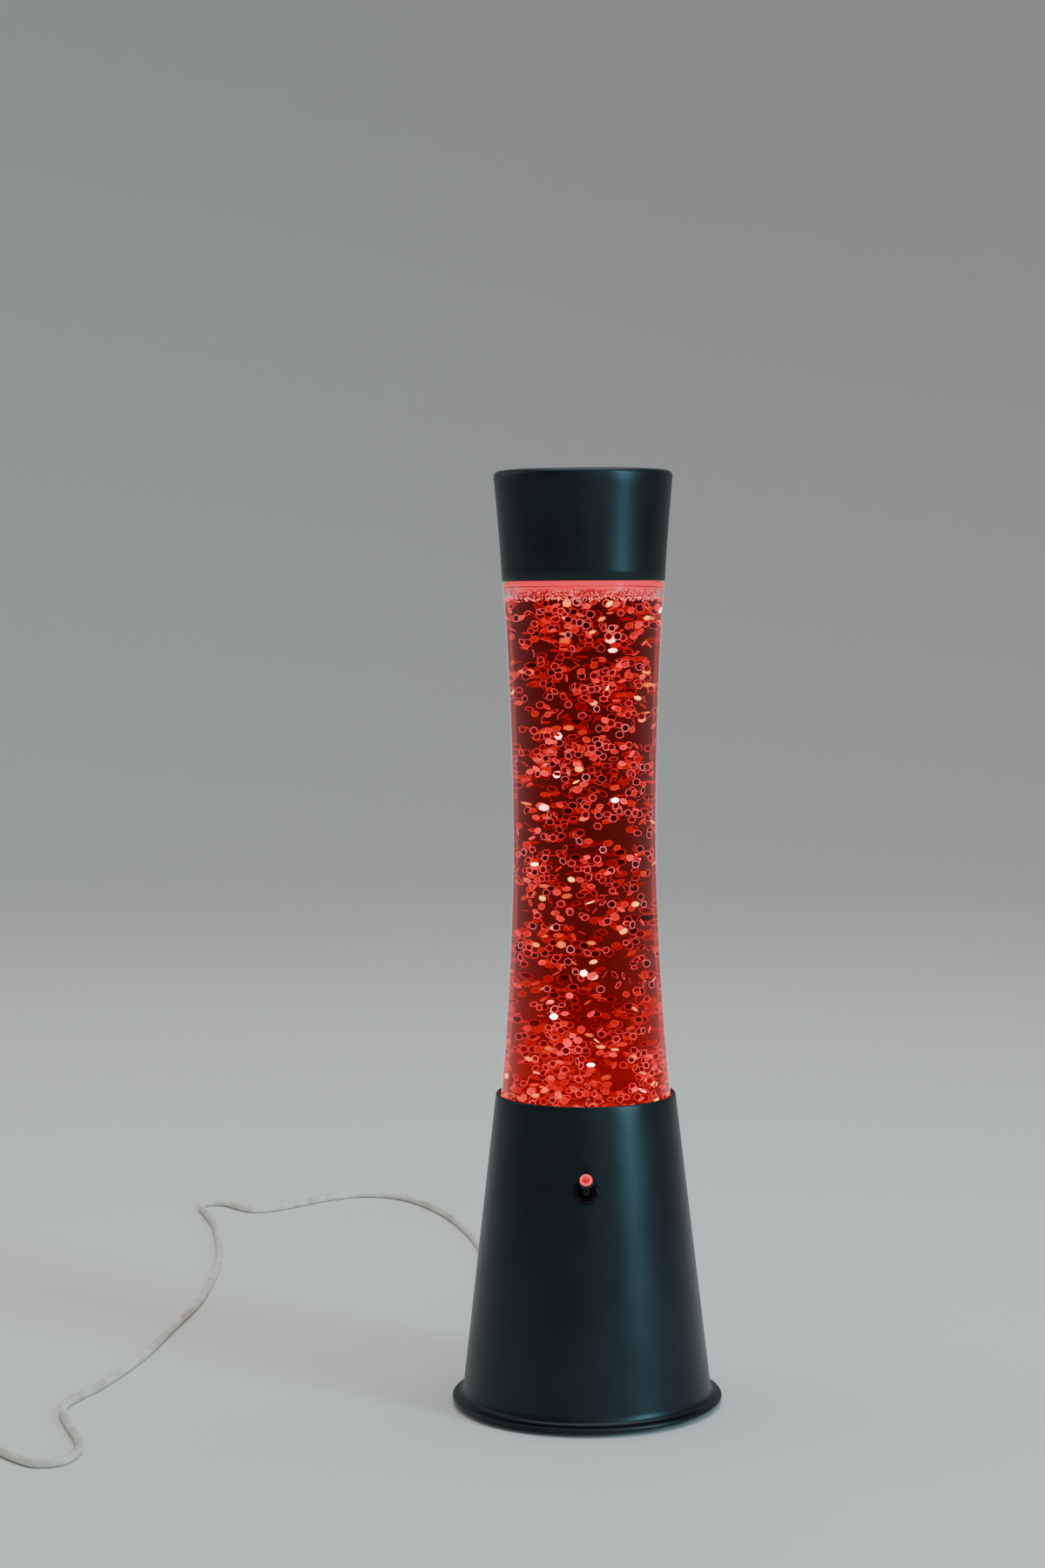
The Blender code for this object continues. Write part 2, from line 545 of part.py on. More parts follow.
# ---------------------------------------------------------------- leads and cord
def make_leads():
    red = material("lead_red_pvc", (0.6, 0.03, 0.03), 0.5)
    white = material("lead_white_pvc", (0.8, 0.8, 0.78), 0.5)
    leads = {
        "motor_lead": (red, [(0, 6, 84.5), (0, 6.5, 78), (6, 12, 60), (8, 12, 38), (8, 7, 24),
                             (8, 6, 20.1)]),
        "led_lead": (red, [(0, 22, 103.5), (1, 22, 96), (6, 23, 70), (10, 18, 36),
                           (13, 8, 24), (13, 7, 20.1)]),
        "switch_lead": (red, [(0, -26.2, 97.6), (0, -24.5, 92), (2, -22, 66), (5, -20, 36),
                              (6, -10, 24), (6, -8.6, 20.1)]),
        "inner_lead": (white, [EXIT_INSIDE, EXIT_INSIDE * 0.92, (-19, 30, 12.2),
                               (-13, 21, 17), (-7, 16, 22), (-6, 11, 23), (-6, 9.9, 23)]),
    }
    for name, (look, route) in leads.items():
        size = 2.4 if name == "inner_lead" else 1.6
        tube(name, smooth_points(route, 14), size, look)


def make_cord():
    pvc = material("white_pvc_cord", (0.82, 0.80, 0.78), 0.4)
    start = EXIT_OUTSIDE
    ahead = start + EXIT_WAY * 4
    lying = smooth_points([ahead, *CORD_ROUTE], CORD_POINTS)
    tube("cord_run", [start, *lying], CORD_D, pvc)
    inner, outer = COIL_R - COIL_HALF_WIDTH, COIL_R + COIL_HALF_WIDTH
    bulge = 1.4
    outline = [(inner, COIL_LOW + bulge), (inner + bulge, COIL_LOW), (outer - bulge, COIL_LOW),
               (outer, COIL_LOW + bulge), (outer, COIL_HIGH - bulge),
               (outer - bulge, COIL_HIGH), (inner + bulge, COIL_HIGH),
               (inner, COIL_HIGH - bulge)]
    add_object("cord_coil", turned("cord_coil", outline, 24), pvc, (COIL_X, COIL_Y, 0))
    strap = material("cord_tie_nylon", (0.05, 0.05, 0.05), 0.6)
    wide = 2 * (COIL_HALF_WIDTH + TIE_SLACK + TIE_THICK)
    high = COIL_HIGH + GAP + TIE_THICK
    tie_mesh = block("cord_tie", (wide, TIE_WIDE, high), (COIL_R, 0, high / 2))
    place, turn = (COIL_X, COIL_Y, 0), (0, 0, TIE_ANGLE)
    tie = add_object("cord_tie", tie_mesh, strap, place, turn)
    hollow = block("tie_hollow", (wide - 2 * TIE_THICK, TIE_WIDE + 4,
                                  COIL_HIGH + GAP - TIE_THICK),
                   (COIL_R, 0, (COIL_HIGH + GAP + TIE_THICK) / 2))
    cut_or_join(tie, [("tie_hollow_cut", hollow, place, turn, None)], "DIFFERENCE")


def make_relief():
    pvc = material("strain_relief_pvc", (0.80, 0.78, 0.76), 0.5)
    out = RELIEF_LENGTH
    outline = [(0, -5.0), (4.4, -5.0), (4.4, -2.2), (2.9, -2.0), (2.9, 0.9), (3.9, 1.1),
               (3.9, 2.4), (2.9, 3.4), (2.2, out), (0, out)]
    add_object("cord_grommet", turned("cord_grommet", outline, 16), pvc, parent=EXIT_FRAME)


def make_plug():
    pvc = material("plug_overmould_pvc", (0.80, 0.78, 0.76), 0.45)
    steel = material("plug_nickel_shell", (0.65, 0.65, 0.66), 0.25, 1.0)
    frame = add_empty("plug_frame", (PLUG_X, PLUG_Y, PLUG_Z), (0, 0, PLUG_TURN))
    grip = block("usb_plug_grip", (19.0, 14.0, 7.4), (9.5, 0, 0), 1.2)
    add_object("usb_plug_grip", grip, pvc, parent=frame)
    metal = block("usb_plug_shell", (12.0, 12.0, 4.5), (19.0 + GAP + 6.0, 0, 0), 0.3)
    shell = add_object("usb_plug_shell", metal, steel, parent=frame)
    mouth = block("usb_mouth", (9.0, 11.2, 3.7), (19.0 + GAP + 8.5, 0, 0))
    cut_or_join(shell, [("usb_mouth_cut", mouth, (0, 0, 0), (0, 0, 0), frame)], "DIFFERENCE")
    look = material("tail_white_pvc", (0.82, 0.80, 0.78), 0.4)
    tube("cord_tail", smooth_points(TAIL_ROUTE, 8), CORD_D, look)


clear_scene()
LEAN = math.degrees(math.atan(CONE_SLOPE))
SWITCH_FRAME = add_empty("switch_frame", (0, -cone_r(SWITCH_Z), SWITCH_Z), (90 - LEAN, 0, 0))
TOGGLE_FRAME = add_empty("toggle_pivot", (0, 0, PIVOT_OUT), (-SWITCH_TILT, 0, 0), SWITCH_FRAME)

EXIT_WAY = Vector((math.cos(math.radians(EXIT_ANGLE)), math.sin(math.radians(EXIT_ANGLE)), 0))
EXIT_WALL = EXIT_WAY * cone_r(EXIT_Z) + Vector((0, 0, EXIT_Z))
EXIT_OUTSIDE = EXIT_WALL + EXIT_WAY * (RELIEF_LENGTH + GAP)
EXIT_INSIDE = EXIT_WALL - EXIT_WAY * (5.0 + GAP)
EXIT_FRAME = add_empty("exit_frame", EXIT_WALL, (0, 90, EXIT_ANGLE))
TAIL_ROUTE = [(-280.5, -46.8, 6.0), (-287, -44.0, 5.0), (-296, -41.8, 4.2),
              (-305.6, -40.1, PLUG_Z)]

make_base_shell()
make_bottom_cover()
make_feet()
make_inner_frame()
make_seat_gasket()
make_light()
make_motor()
make_rotor()
make_control_board()
make_screws()
make_switch()
make_toggle()
make_bottle()
make_liquid()
make_stirrer()
make_closure()
make_top_cap()
make_leads()
make_relief()
make_cord()
make_plug()
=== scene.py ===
# %% [markdown]
# # A glitter lamp
# The real lamp is a tapered metal base with a light in it, a waisted glass bottle of red liquid
# full of six-sided glitter, and a loose metal cap. The engineering model gives every size, so
# this lesson starts by loading it, and each visible piece is then built around it in metres.

# %% Load the engineering model
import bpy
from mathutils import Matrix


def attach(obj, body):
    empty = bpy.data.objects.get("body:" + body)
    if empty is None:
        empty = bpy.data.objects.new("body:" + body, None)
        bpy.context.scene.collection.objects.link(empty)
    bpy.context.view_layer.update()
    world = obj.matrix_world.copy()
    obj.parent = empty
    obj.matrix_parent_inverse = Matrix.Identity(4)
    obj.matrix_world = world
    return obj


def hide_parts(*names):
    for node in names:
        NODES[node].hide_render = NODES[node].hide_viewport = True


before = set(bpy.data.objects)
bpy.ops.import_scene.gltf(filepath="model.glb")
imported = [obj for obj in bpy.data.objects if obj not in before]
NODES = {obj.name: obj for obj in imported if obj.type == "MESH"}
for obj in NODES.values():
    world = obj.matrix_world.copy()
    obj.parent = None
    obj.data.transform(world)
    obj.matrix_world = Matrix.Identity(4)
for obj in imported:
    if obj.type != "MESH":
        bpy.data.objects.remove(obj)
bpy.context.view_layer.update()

import math
import random

import bmesh
import bpy
from mathutils import Matrix, Quaternion, Vector, noise

MM = 0.001

# %% [markdown]
# ## Colour and shader helpers
# Colours are written as the sRGB hex values that a paint chart gives, and one function turns
# them linear, as shaders need. Nodes could be placed by hand in the shader editor, but then
# nobody could read how a finish was made. Here one function adds any shader node with its
# settings and links, so a material reads as a list of what it is made of.

# %% Colour, node and material helpers


def linear(code):
    """An sRGB hex colour as linear red, green, blue and alpha."""
    parts = [int(code[k:k + 2], 16) / 255 for k in (1, 3, 5)]
    return (*[p / 12.92 if p <= 0.04045 else ((p + 0.055) / 1.055) ** 2.4 for p in parts], 1)


def add_node(tree, kind, settings=None, links=None, to=None):
    """Add one shader node. settings are its own values, its inputs' values or a ramp's stops;
    links are its inputs' sources; to is the input that its first output feeds."""
    node = tree.nodes.new("ShaderNode" + kind)
    for name, value in (settings or {}).items():
        if name == "stops":
            ramp = node.color_ramp.elements
            ramp.remove(ramp[1])
            ramp[0].position = value[0][0]
            for where, _ in value[1:]:
                ramp.new(where)
            for stop, (_, colour) in zip(ramp, value):
                stop.color = linear(colour)
        elif isinstance(name, str) and hasattr(node, name):
            setattr(node, name, value)
        else:
            node.inputs[name].default_value = value
    for name, source in (links or {}).items():
        tree.links.new(source, node.inputs[name])
    if to is not None:
        tree.links.new(node.outputs[0], to)
    return node


def new_material(name, colour, roughness, **values):
    """A material whose Principled shader has this colour, roughness and other plain values."""
    made = bpy.data.materials.new(name)
    made.use_nodes = True
    shader = made.node_tree.nodes["Principled BSDF"]
    shader.inputs["Base Color"].default_value = linear(colour)
    shader.inputs["Roughness"].default_value = roughness
    for key, value in values.items():
        shader.inputs[key.replace("_", " ")].default_value = value
    print("finish:", name)
    return made, made.node_tree, shader


def per_metre(size_mm):
    """A noise or Voronoi scale whose cells are about size_mm across on the object."""
    return 1 / (size_mm * MM)


# %% [markdown]
# ## Moulded plastic and rubber
# Most small pieces here are injection moulded, and a mould's wall is never a mirror: it leaves
# a grain about half a millimetre across. A plain colour would look like wet paint, so the grain
# drives both the roughness and a low bump, and the eye gets a soft, slightly broken gloss.

# %% Moulded finish


def moulded(name, colour, roughness, grain_mm=0.5, strength=0.25, **values):
    """Injection-moulded plastic or rubber: one colour, with the mould's fine grain."""
    made, tree, shader = new_material(name, colour, roughness, **values)
    grain = add_node(tree, "TexNoise", {"Scale": per_metre(grain_mm), "Detail": 3.0},
                     {"Vector": add_node(tree, "TexCoord").outputs["Object"]})
    add_node(tree, "MapRange", {"To Min": roughness - 0.08, "To Max": roughness + 0.08},
             {"Value": grain.outputs["Fac"]}, to=shader.inputs["Roughness"])
    add_node(tree, "Bump", {"Strength": strength, "Distance": 0.06 * MM},
             {"Height": grain.outputs["Fac"]}, to=shader.inputs["Normal"])
    return made


# %% [markdown]
# ## Mesh helpers
# Almost every piece of this lamp was turned, spun or blown, so it is round about one axis. A
# Screw modifier could spin an outline too, but a function that makes the rings itself leaves a
# plain closed mesh with nothing still to apply. Another places a finished mesh, shades it and
# gives it a material. Corners are arcs, because a real edge is never perfectly sharp and
# catches a line of light.

# %% Mesh helpers


def arc(middle_r, middle_z, radius, start, end, steps=6):
    """Points on an arc in the (radius, height) plane, from start to end in degrees."""
    turns = [math.radians(start + (end - start) * k / steps) for k in range(steps + 1)]
    return [(middle_r + radius * math.cos(a), middle_z + radius * math.sin(a)) for a in turns]


def spin(outline, sides=128, closed=True):
    """A mesh from a closed outline of (radius, height) points in mm, spun about Z."""
    bm = bmesh.new()
    rings = []
    for radius, height in outline:
        count = 1 if radius == 0 else sides
        spots = [(radius * math.cos(a), radius * math.sin(a), height)
                 for a in (2 * math.pi * k / sides for k in range(count))]
        rings.append([bm.verts.new(Vector(spot) * MM) for spot in spots])
    for here, there in zip(rings, rings[1:] + rings[:1]):
        for k in range(sides):
            n = (k + 1) % sides
            if len(here) == 1 and len(there) == 1:
                break
            if len(here) == 1:
                bm.faces.new((here[0], there[k], there[n]))
            elif len(there) == 1:
                bm.faces.new((here[k], here[n], there[0]))
            else:
                bm.faces.new((here[k], here[n], there[n], there[k]))
    return bm


def piece(name, bm, look, body, replaced=(), place=None, sharp=40):
    """Turn a bmesh into a shown piece that rides on a body and stands for CAD nodes."""
    bmesh.ops.recalc_face_normals(bm, faces=bm.faces)
    mesh = bpy.data.meshes.new(name)
    bm.to_mesh(mesh)
    bm.free()
    if place is not None:
        mesh.transform(place)
    mesh.shade_smooth()
    mesh.set_sharp_from_angle(angle=math.radians(sharp))
    mesh.materials.append(look)
    made = bpy.data.objects.new(name, mesh)
    bpy.context.collection.objects.link(made)
    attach(made, body)
    if replaced:
        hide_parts(*replaced)
    print(f"{name}: {len(mesh.polygons)} faces")
    return made


# %% Boxes and holes


def box_mesh(size, centre=(0, 0, 0), bevel=0.0, segments=3):
    """A bevelled box, in mm."""
    bm = bmesh.new()
    bmesh.ops.create_cube(bm, size=1.0)
    for vert in bm.verts:
        vert.co = Vector(c + v * s for v, s, c in zip(vert.co, size, centre)) * MM
    if bevel:
        bmesh.ops.bevel(bm, geom=bm.edges[:], offset=bevel * MM, segments=segments,
                        affect="EDGES", profile=0.5)
    return bm


def joined(*parts):
    """Several bmeshes as one."""
    whole = bmesh.new()
    for part in parts:
        scratch = bpy.data.meshes.new("scratch")
        part.to_mesh(scratch)
        part.free()
        whole.from_mesh(scratch)
        bpy.data.meshes.remove(scratch)
    return whole


def cutter(bm, place):
    """A hidden solid that a Boolean takes away."""
    bmesh.ops.recalc_face_normals(bm, faces=bm.faces)
    mesh = bpy.data.meshes.new("cutter")
    bm.to_mesh(mesh)
    bm.free()
    mesh.transform(place)
    made = bpy.data.objects.new("cutter", mesh)
    bpy.context.collection.objects.link(made)
    return made


def drill(radius, reach=6):
    """A rod along Z for a round hole, in mm."""
    return spin([(0, -reach), (radius, -reach), (radius, reach), (0, reach)], 48)


def cut_holes(target, cutters):
    """Cut the holes, keep the result as the target's own mesh and drop the cutters."""
    for tool in cutters:
        step = target.modifiers.new("hole", "BOOLEAN")
        step.object = tool
        step.solver = "EXACT"
    graph = bpy.context.evaluated_depsgraph_get()
    result = bpy.data.meshes.new_from_object(target.evaluated_get(graph))
    target.modifiers.clear()
    target.data = result
    for tool in cutters:
        bpy.data.objects.remove(tool)


# %% [markdown]
# ## Camera
# The camera stands about 1.2 m away, a little below the lamp's top, and looks slightly down and
# to the left of the lamp. A longer lens from further off would flatten the rims' curves, and a
# shorter one would make the foot too wide, so the distance was settled first and the lens after.

# %% Camera
LENS_MM, SENSOR_MM = 66.0, 36.0
CAMERA_PLACE = Vector((0.0, -1.2248, 0.3451))
LOOK_DOWN, LOOK_LEFT, ROLL = math.radians(3.64), math.radians(1.235), math.radians(-0.33)

camera_data = bpy.data.cameras.new("camera")
camera_data.lens = LENS_MM
camera_data.sensor_width = SENSOR_MM
camera = bpy.data.objects.new("camera", camera_data)
bpy.context.collection.objects.link(camera)
look = Vector((-math.sin(LOOK_LEFT) * math.cos(LOOK_DOWN),
               math.cos(LOOK_LEFT) * math.cos(LOOK_DOWN), -math.sin(LOOK_DOWN)))
camera.location = CAMERA_PLACE
camera.rotation_mode = "QUATERNION"
camera.rotation_quaternion = look.to_track_quat("-Z", "Y") @ Quaternion((0, 0, 1), ROLL)
bpy.context.scene.camera = camera
print(f"camera {CAMERA_PLACE.length:.2f} m from the foot, {LENS_MM:.0f} mm lens")

# %% [markdown]
# ## The lead's route
# The supply lead is a thin, limp, low-voltage one: it leaves the back of the base, lies on the
# table in a wide bend, and ends in a small coil with its plug. It could be dropped by a rope
# simulation, but a lead that has been lying for a while is easier to draw. So it is one curve:
# its lying part is a list of given points with a smooth curve through them. The coil is
# worked out: it winds inwards on the table for one and a third turns, steps up, and winds
# outwards on top, as a hand-wound coil does.

# %% The lead's route
CORD_D = 3.5
EXIT_ANGLE, EXIT_R, EXIT_Z = math.radians(120), 52.99, 11.0
COIL_X, COIL_Y = -293.0, -72.0
COIL_IN_R, COIL_PITCH, COIL_LOW_Z, COIL_TOP_Z = 20.9, 3.7, 2.85, 6.38
COIL_START, COIL_STEP_UP, COIL_STEPPED, COIL_END = 48.0, 534.0, 588.0, 1080.0
CORD_ROUTE = [
    (-40, 70, 6.4), (-44, 82, 2.6), (-46, 104, 1.8), (-46, 150, 1.8), (-50, 220, 1.8),
    (-57, 290, 1.8), (-72, 350, 1.8), (-89, 391, 1.8), (-108, 417, 1.8), (-130, 424, 1.8),
    (-150, 413, 1.8), (-165, 397, 1.8), (-178, 385, 1.8), (-189, 382, 1.8),
    (-198, 390, 1.8), (-207, 400, 1.8), (-217, 400, 1.8), (-219, 388, 1.8),
    (-213, 368, 1.8), (-204, 335, 1.8), (-195, 280, 1.8), (-191, 230, 1.8),
    (-191, 170, 1.8), (-197, 115, 1.8), (-203, 65, 1.8), (-213, 20, 1.8),
    (-222, -5, 1.8), (-224, -20, 1.8), (-218, -42, 1.8), (-210, -64, 1.8),
    (-207, -82, 1.8), (-211, -95, 1.8), (-221, -98, 1.8), (-231, -90, 1.8),
    (-240, -80, 1.8), (-249, -73, 2.0), (-258, -68, 2.4), (-267, -64, 2.9),
]
TAIL_ROUTE = [(-271.3, -64, 6.5), (-272.5, -56.5, 6.4), (-276, -50.5, 5.9),
              (-280.5, -46.8, 5.5), (-287, -44.0, 5.0), (-296, -41.8, 4.2),
              (-305.6, -40.1, 3.8)]


def coil_point(degrees):
    """A point on the coil: inwards below, a step up, then outwards on top."""
    inner = COIL_IN_R - COIL_PITCH * (COIL_STEP_UP - COIL_START) / 360
    if degrees < COIL_STEP_UP:
        radius, height = COIL_IN_R - COIL_PITCH * (degrees - COIL_START) / 360, COIL_LOW_Z
    elif degrees < COIL_STEPPED:
        share = (degrees - COIL_STEP_UP) / (COIL_STEPPED - COIL_STEP_UP)
        rise = share * share * (3 - 2 * share)
        radius, height = inner, COIL_LOW_Z + (COIL_TOP_Z - COIL_LOW_Z) * rise
    else:
        radius, height = inner + COIL_PITCH * (degrees - COIL_STEPPED) / 360, COIL_TOP_Z
    angle = math.radians(degrees)
    return (COIL_X + radius * math.cos(angle), COIL_Y + radius * math.sin(angle), height)


def smooth(points, steps=8):
    """A Catmull-Rom curve through the points, with steps pieces between each two."""
    knots = [Vector(p) for p in points]
    knots = [2 * knots[0] - knots[1], *knots, 2 * knots[-1] - knots[-2]]
    line = []
    for a, b, c, d in zip(knots, knots[1:], knots[2:], knots[3:]):
        for k in range(steps):
            t = k / steps
            line.append(0.5 * (2 * b + (c - a) * t + (2 * a - 5 * b + 4 * c - d) * t ** 2
                               + (3 * b - a - 3 * c + d) * t ** 3))
    return line + [knots[-2]]


exit_way = Vector((math.cos(EXIT_ANGLE), math.sin(EXIT_ANGLE), 0))
exit_point = exit_way * EXIT_R + Vector((0, 0, EXIT_Z))
COIL_STEP = 12
turns = [coil_point(degrees)
         for degrees in range(int(COIL_START), int(COIL_END) + 1, COIL_STEP)]
route = smooth([exit_point + exit_way * 3, exit_point + exit_way * 13,
                exit_point + exit_way * 17, *CORD_ROUTE, *turns, *TAIL_ROUTE])
CORD_LENGTH = sum((b - a).length for a, b in zip(route, route[1:])) * MM
print(f"the lead is {CORD_LENGTH:.3f} m long")

# %% [markdown]
# ## The lead's finish
# The lead is white plasticised PVC, extruded through a die. That leaves it smooth and softly
# glossy, with faint waves along it and a little handling dirt. Its roughness varies slowly, and
# a low bump breaks the highlight, so the eye reads a soft skin and not a painted wire.

# %% Extruded white PVC
cord_pvc, tree, shader = new_material("extruded_white_pvc", "#DAD3CB", 0.42, IOR=1.53)
place = add_node(tree, "TexCoord")
waves = add_node(tree, "TexNoise", {"Scale": per_metre(9), "Detail": 3.0},
                 {"Vector": place.outputs["Object"]})
add_node(tree, "ValToRGB", {"stops": [(0.3, "#C2B8AE"), (0.62, "#E6E0D8")]},
         {"Fac": waves.outputs["Fac"]}, to=shader.inputs["Base Color"])
add_node(tree, "MapRange", {"To Min": 0.34, "To Max": 0.52}, {"Value": waves.outputs["Fac"]},
         to=shader.inputs["Roughness"])
fine = add_node(tree, "TexNoise", {"Scale": per_metre(1.2), "Detail": 2.0},
                {"Vector": place.outputs["Object"]})
add_node(tree, "Bump", {"Strength": 0.15, "Distance": 0.1 * MM},
         {"Height": fine.outputs["Fac"]}, to=shader.inputs["Normal"])

# %% The lead
cord_curve = bpy.data.curves.new("lead", "CURVE")
cord_curve.dimensions = "3D"
cord_curve.bevel_depth = CORD_D / 2 * MM
cord_curve.bevel_resolution = 5
cord_curve.use_fill_caps = True
spline = cord_curve.splines.new("POLY")
spline.points.add(len(route) - 1)
for spot, point in zip(route, spline.points):
    point.co = (*(spot * MM), 1.0)
cord_curve.materials.append(cord_pvc)
lead = bpy.data.objects.new("lead", cord_curve)
bpy.context.collection.objects.link(lead)
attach(lead, "base")
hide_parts("cord_run", "cord_coil", "cord_tail")
print(f"lead: {len(route)} points")

# %% [markdown]
# ## Strain relief, plug and tie
# Where a lead leaves a housing it would kink and break, so a soft sleeve with ribs is moulded
# around it. The far end is a USB plug: a folded, plated steel shell in a moulded grip, and a
# thin strap keeps the coil together. The sleeve is turned in one outline, ribs and all, as its
# mould is. The shell is four thin plates with bevelled edges, because a folded sheet has square
# outsides with a small radius, and a hollowed box would lose them.

# %% Moulded soft PVC
soft_pvc, tree, shader = new_material("moulded_soft_pvc", "#D6CFC6", 0.5, IOR=1.53)
grain = add_node(tree, "TexNoise", {"Scale": per_metre(0.8), "Detail": 2.0},
                 {"Vector": add_node(tree, "TexCoord").outputs["Object"]})
add_node(tree, "ValToRGB", {"stops": [(0, "#CBC3BA"), (1, "#DED8D0")]},
         {"Fac": grain.outputs["Fac"]}, to=shader.inputs["Base Color"])
add_node(tree, "Bump", {"Strength": 0.25, "Distance": 0.08 * MM},
         {"Height": grain.outputs["Fac"]}, to=shader.inputs["Normal"])

# %% Strain relief
EXIT_FRAME = (Matrix.Translation(exit_point * MM)
              @ Matrix.Rotation(EXIT_ANGLE, 4, "Z") @ Matrix.Rotation(math.pi / 2, 4, "Y"))
RELIEF_END, RIBS = 13.0, 4
sleeve = [(0, -5.0), (4.3, -5.0), (4.3, -2.3), (2.9, -2.1), (2.9, 0.9), (3.6, 1.1)]
sleeve += arc(3.5, 1.75, 0.4, -60, 60, 4) + [(3.0, 2.6)]
for k in range(RIBS):
    low = 3.2 + 2.35 * k
    wide = 2.95 - 0.16 * k
    sleeve += [(wide - 0.5, low), (wide - 0.5, low + 0.7), (wide - 0.08, low + 0.9),
               (wide, low + 1.3), (wide - 0.08, low + 1.7)]
sleeve += [(2.15, RELIEF_END - 0.3), (1.85, RELIEF_END), (0, RELIEF_END)]
piece("strain_relief", spin(sleeve, 48), soft_pvc, "base", ["cord_grommet"],
      EXIT_FRAME)

# %% [markdown]
# ## Plated steel, nylon and gold flash
# Nickel plate over rolled steel keeps the sheet's faint rolling lines, so its noise is squeezed
# along one axis, and the eye gets a bright metal with a slightly streaked gloss. Nylon keeps its
# natural milky white, and a few microns of gold cover the plug's contacts.

# %% Nickel-plated steel
plated_steel, tree, shader = new_material("nickel_plated_steel", "#B9B8B4", 0.28, Metallic=1.0)
stretch = add_node(tree, "Mapping", {"Scale": (1.0, 1.0, 9.0)},
                   {"Vector": add_node(tree, "TexCoord").outputs["Object"]})
lines = add_node(tree, "TexNoise", {"Scale": per_metre(1.5), "Detail": 4.0},
                 {"Vector": stretch.outputs["Vector"]})
add_node(tree, "MapRange", {"To Min": 0.2, "To Max": 0.4}, {"Value": lines.outputs["Fac"]},
         to=shader.inputs["Roughness"])
add_node(tree, "Bump", {"Strength": 0.08, "Distance": 0.05 * MM},
         {"Height": lines.outputs["Fac"]}, to=shader.inputs["Normal"])

# %% Nylon and gold flash
natural_nylon = moulded("moulded_natural_nylon", "#D5D2C8", 0.42)
gold_flash = moulded("gold_flash", "#D9A441", 0.3, 0.4, 0.1, Metallic=1.0)

# %% USB plug grip
PLUG_FRAME = (Matrix.Translation(Vector((-306.0, -40.0, 3.8)) * MM)
              @ Matrix.Rotation(math.radians(172), 4, "Z"))
grip = box_mesh((19.0, 14.0, 7.4), (9.5, 0, 0), 1.9, 4)
for k in range(4):
    for side in (-1, 1):
        rib = box_mesh((1.1, 0.5, 4.6), (5.0 + 2.6 * k, side * 6.95, 0), 0.2, 2)
        grip = joined(grip, rib)
piece("usb_grip", grip, soft_pvc, "base", ["usb_plug_grip"], PLUG_FRAME, 50)

# %% USB plug shell, tongue and contacts
SHELL_WALL, SHELL_LONG, SHELL_WIDE, SHELL_MID = 0.35, 12.0, 12.0, 25.3
panels = [box_mesh((SHELL_LONG, SHELL_WIDE, SHELL_WALL), (SHELL_MID, 0, side * 2.07), 0.08, 2)
          for side in (-1, 1)]
panels += [box_mesh((SHELL_LONG, SHELL_WALL, 4.2), (SHELL_MID, side * 5.82, 0), 0.08, 2)
           for side in (-1, 1)]
shell = piece("usb_shell", joined(*panels), plated_steel, "base",
              ["usb_plug_shell"], PLUG_FRAME)
windows = joined(*[box_mesh((2.2, 1.9, 8.0), (26.2, side * 2.8, 0)) for side in (-1, 1)])
cut_holes(shell, [cutter(windows, PLUG_FRAME)])
piece("usb_tongue", box_mesh((10.8, 10.9, 1.7), (25.0, 0, 0.95), 0.15, 2), natural_nylon,
      "base", place=PLUG_FRAME)
contacts = joined(*[box_mesh((8.6, 1.1, 0.12), (25.2, -3.45 + 2.3 * k, 0.04))
                    for k in range(4)])
piece("usb_contacts", contacts, gold_flash, "base", place=PLUG_FRAME)

# %% [markdown]
# ## Anodised aluminium
# The base and the cap are spun from aluminium sheet, turned to a fine satin grain and anodised
# dark. The eye gets a soft, tall highlight from the vertical wall, with faint rings running
# round it. Noise alone would look like cast metal, so it is read along the wall only, as height
# plus radius, which makes rings. Real turning marks are about 0.1 mm apart, and they are drawn
# 0.5 mm apart so that they show. Fine grooves that run round spread light up and down, which is
# what the anisotropy does.

# %% Dark anodised aluminium


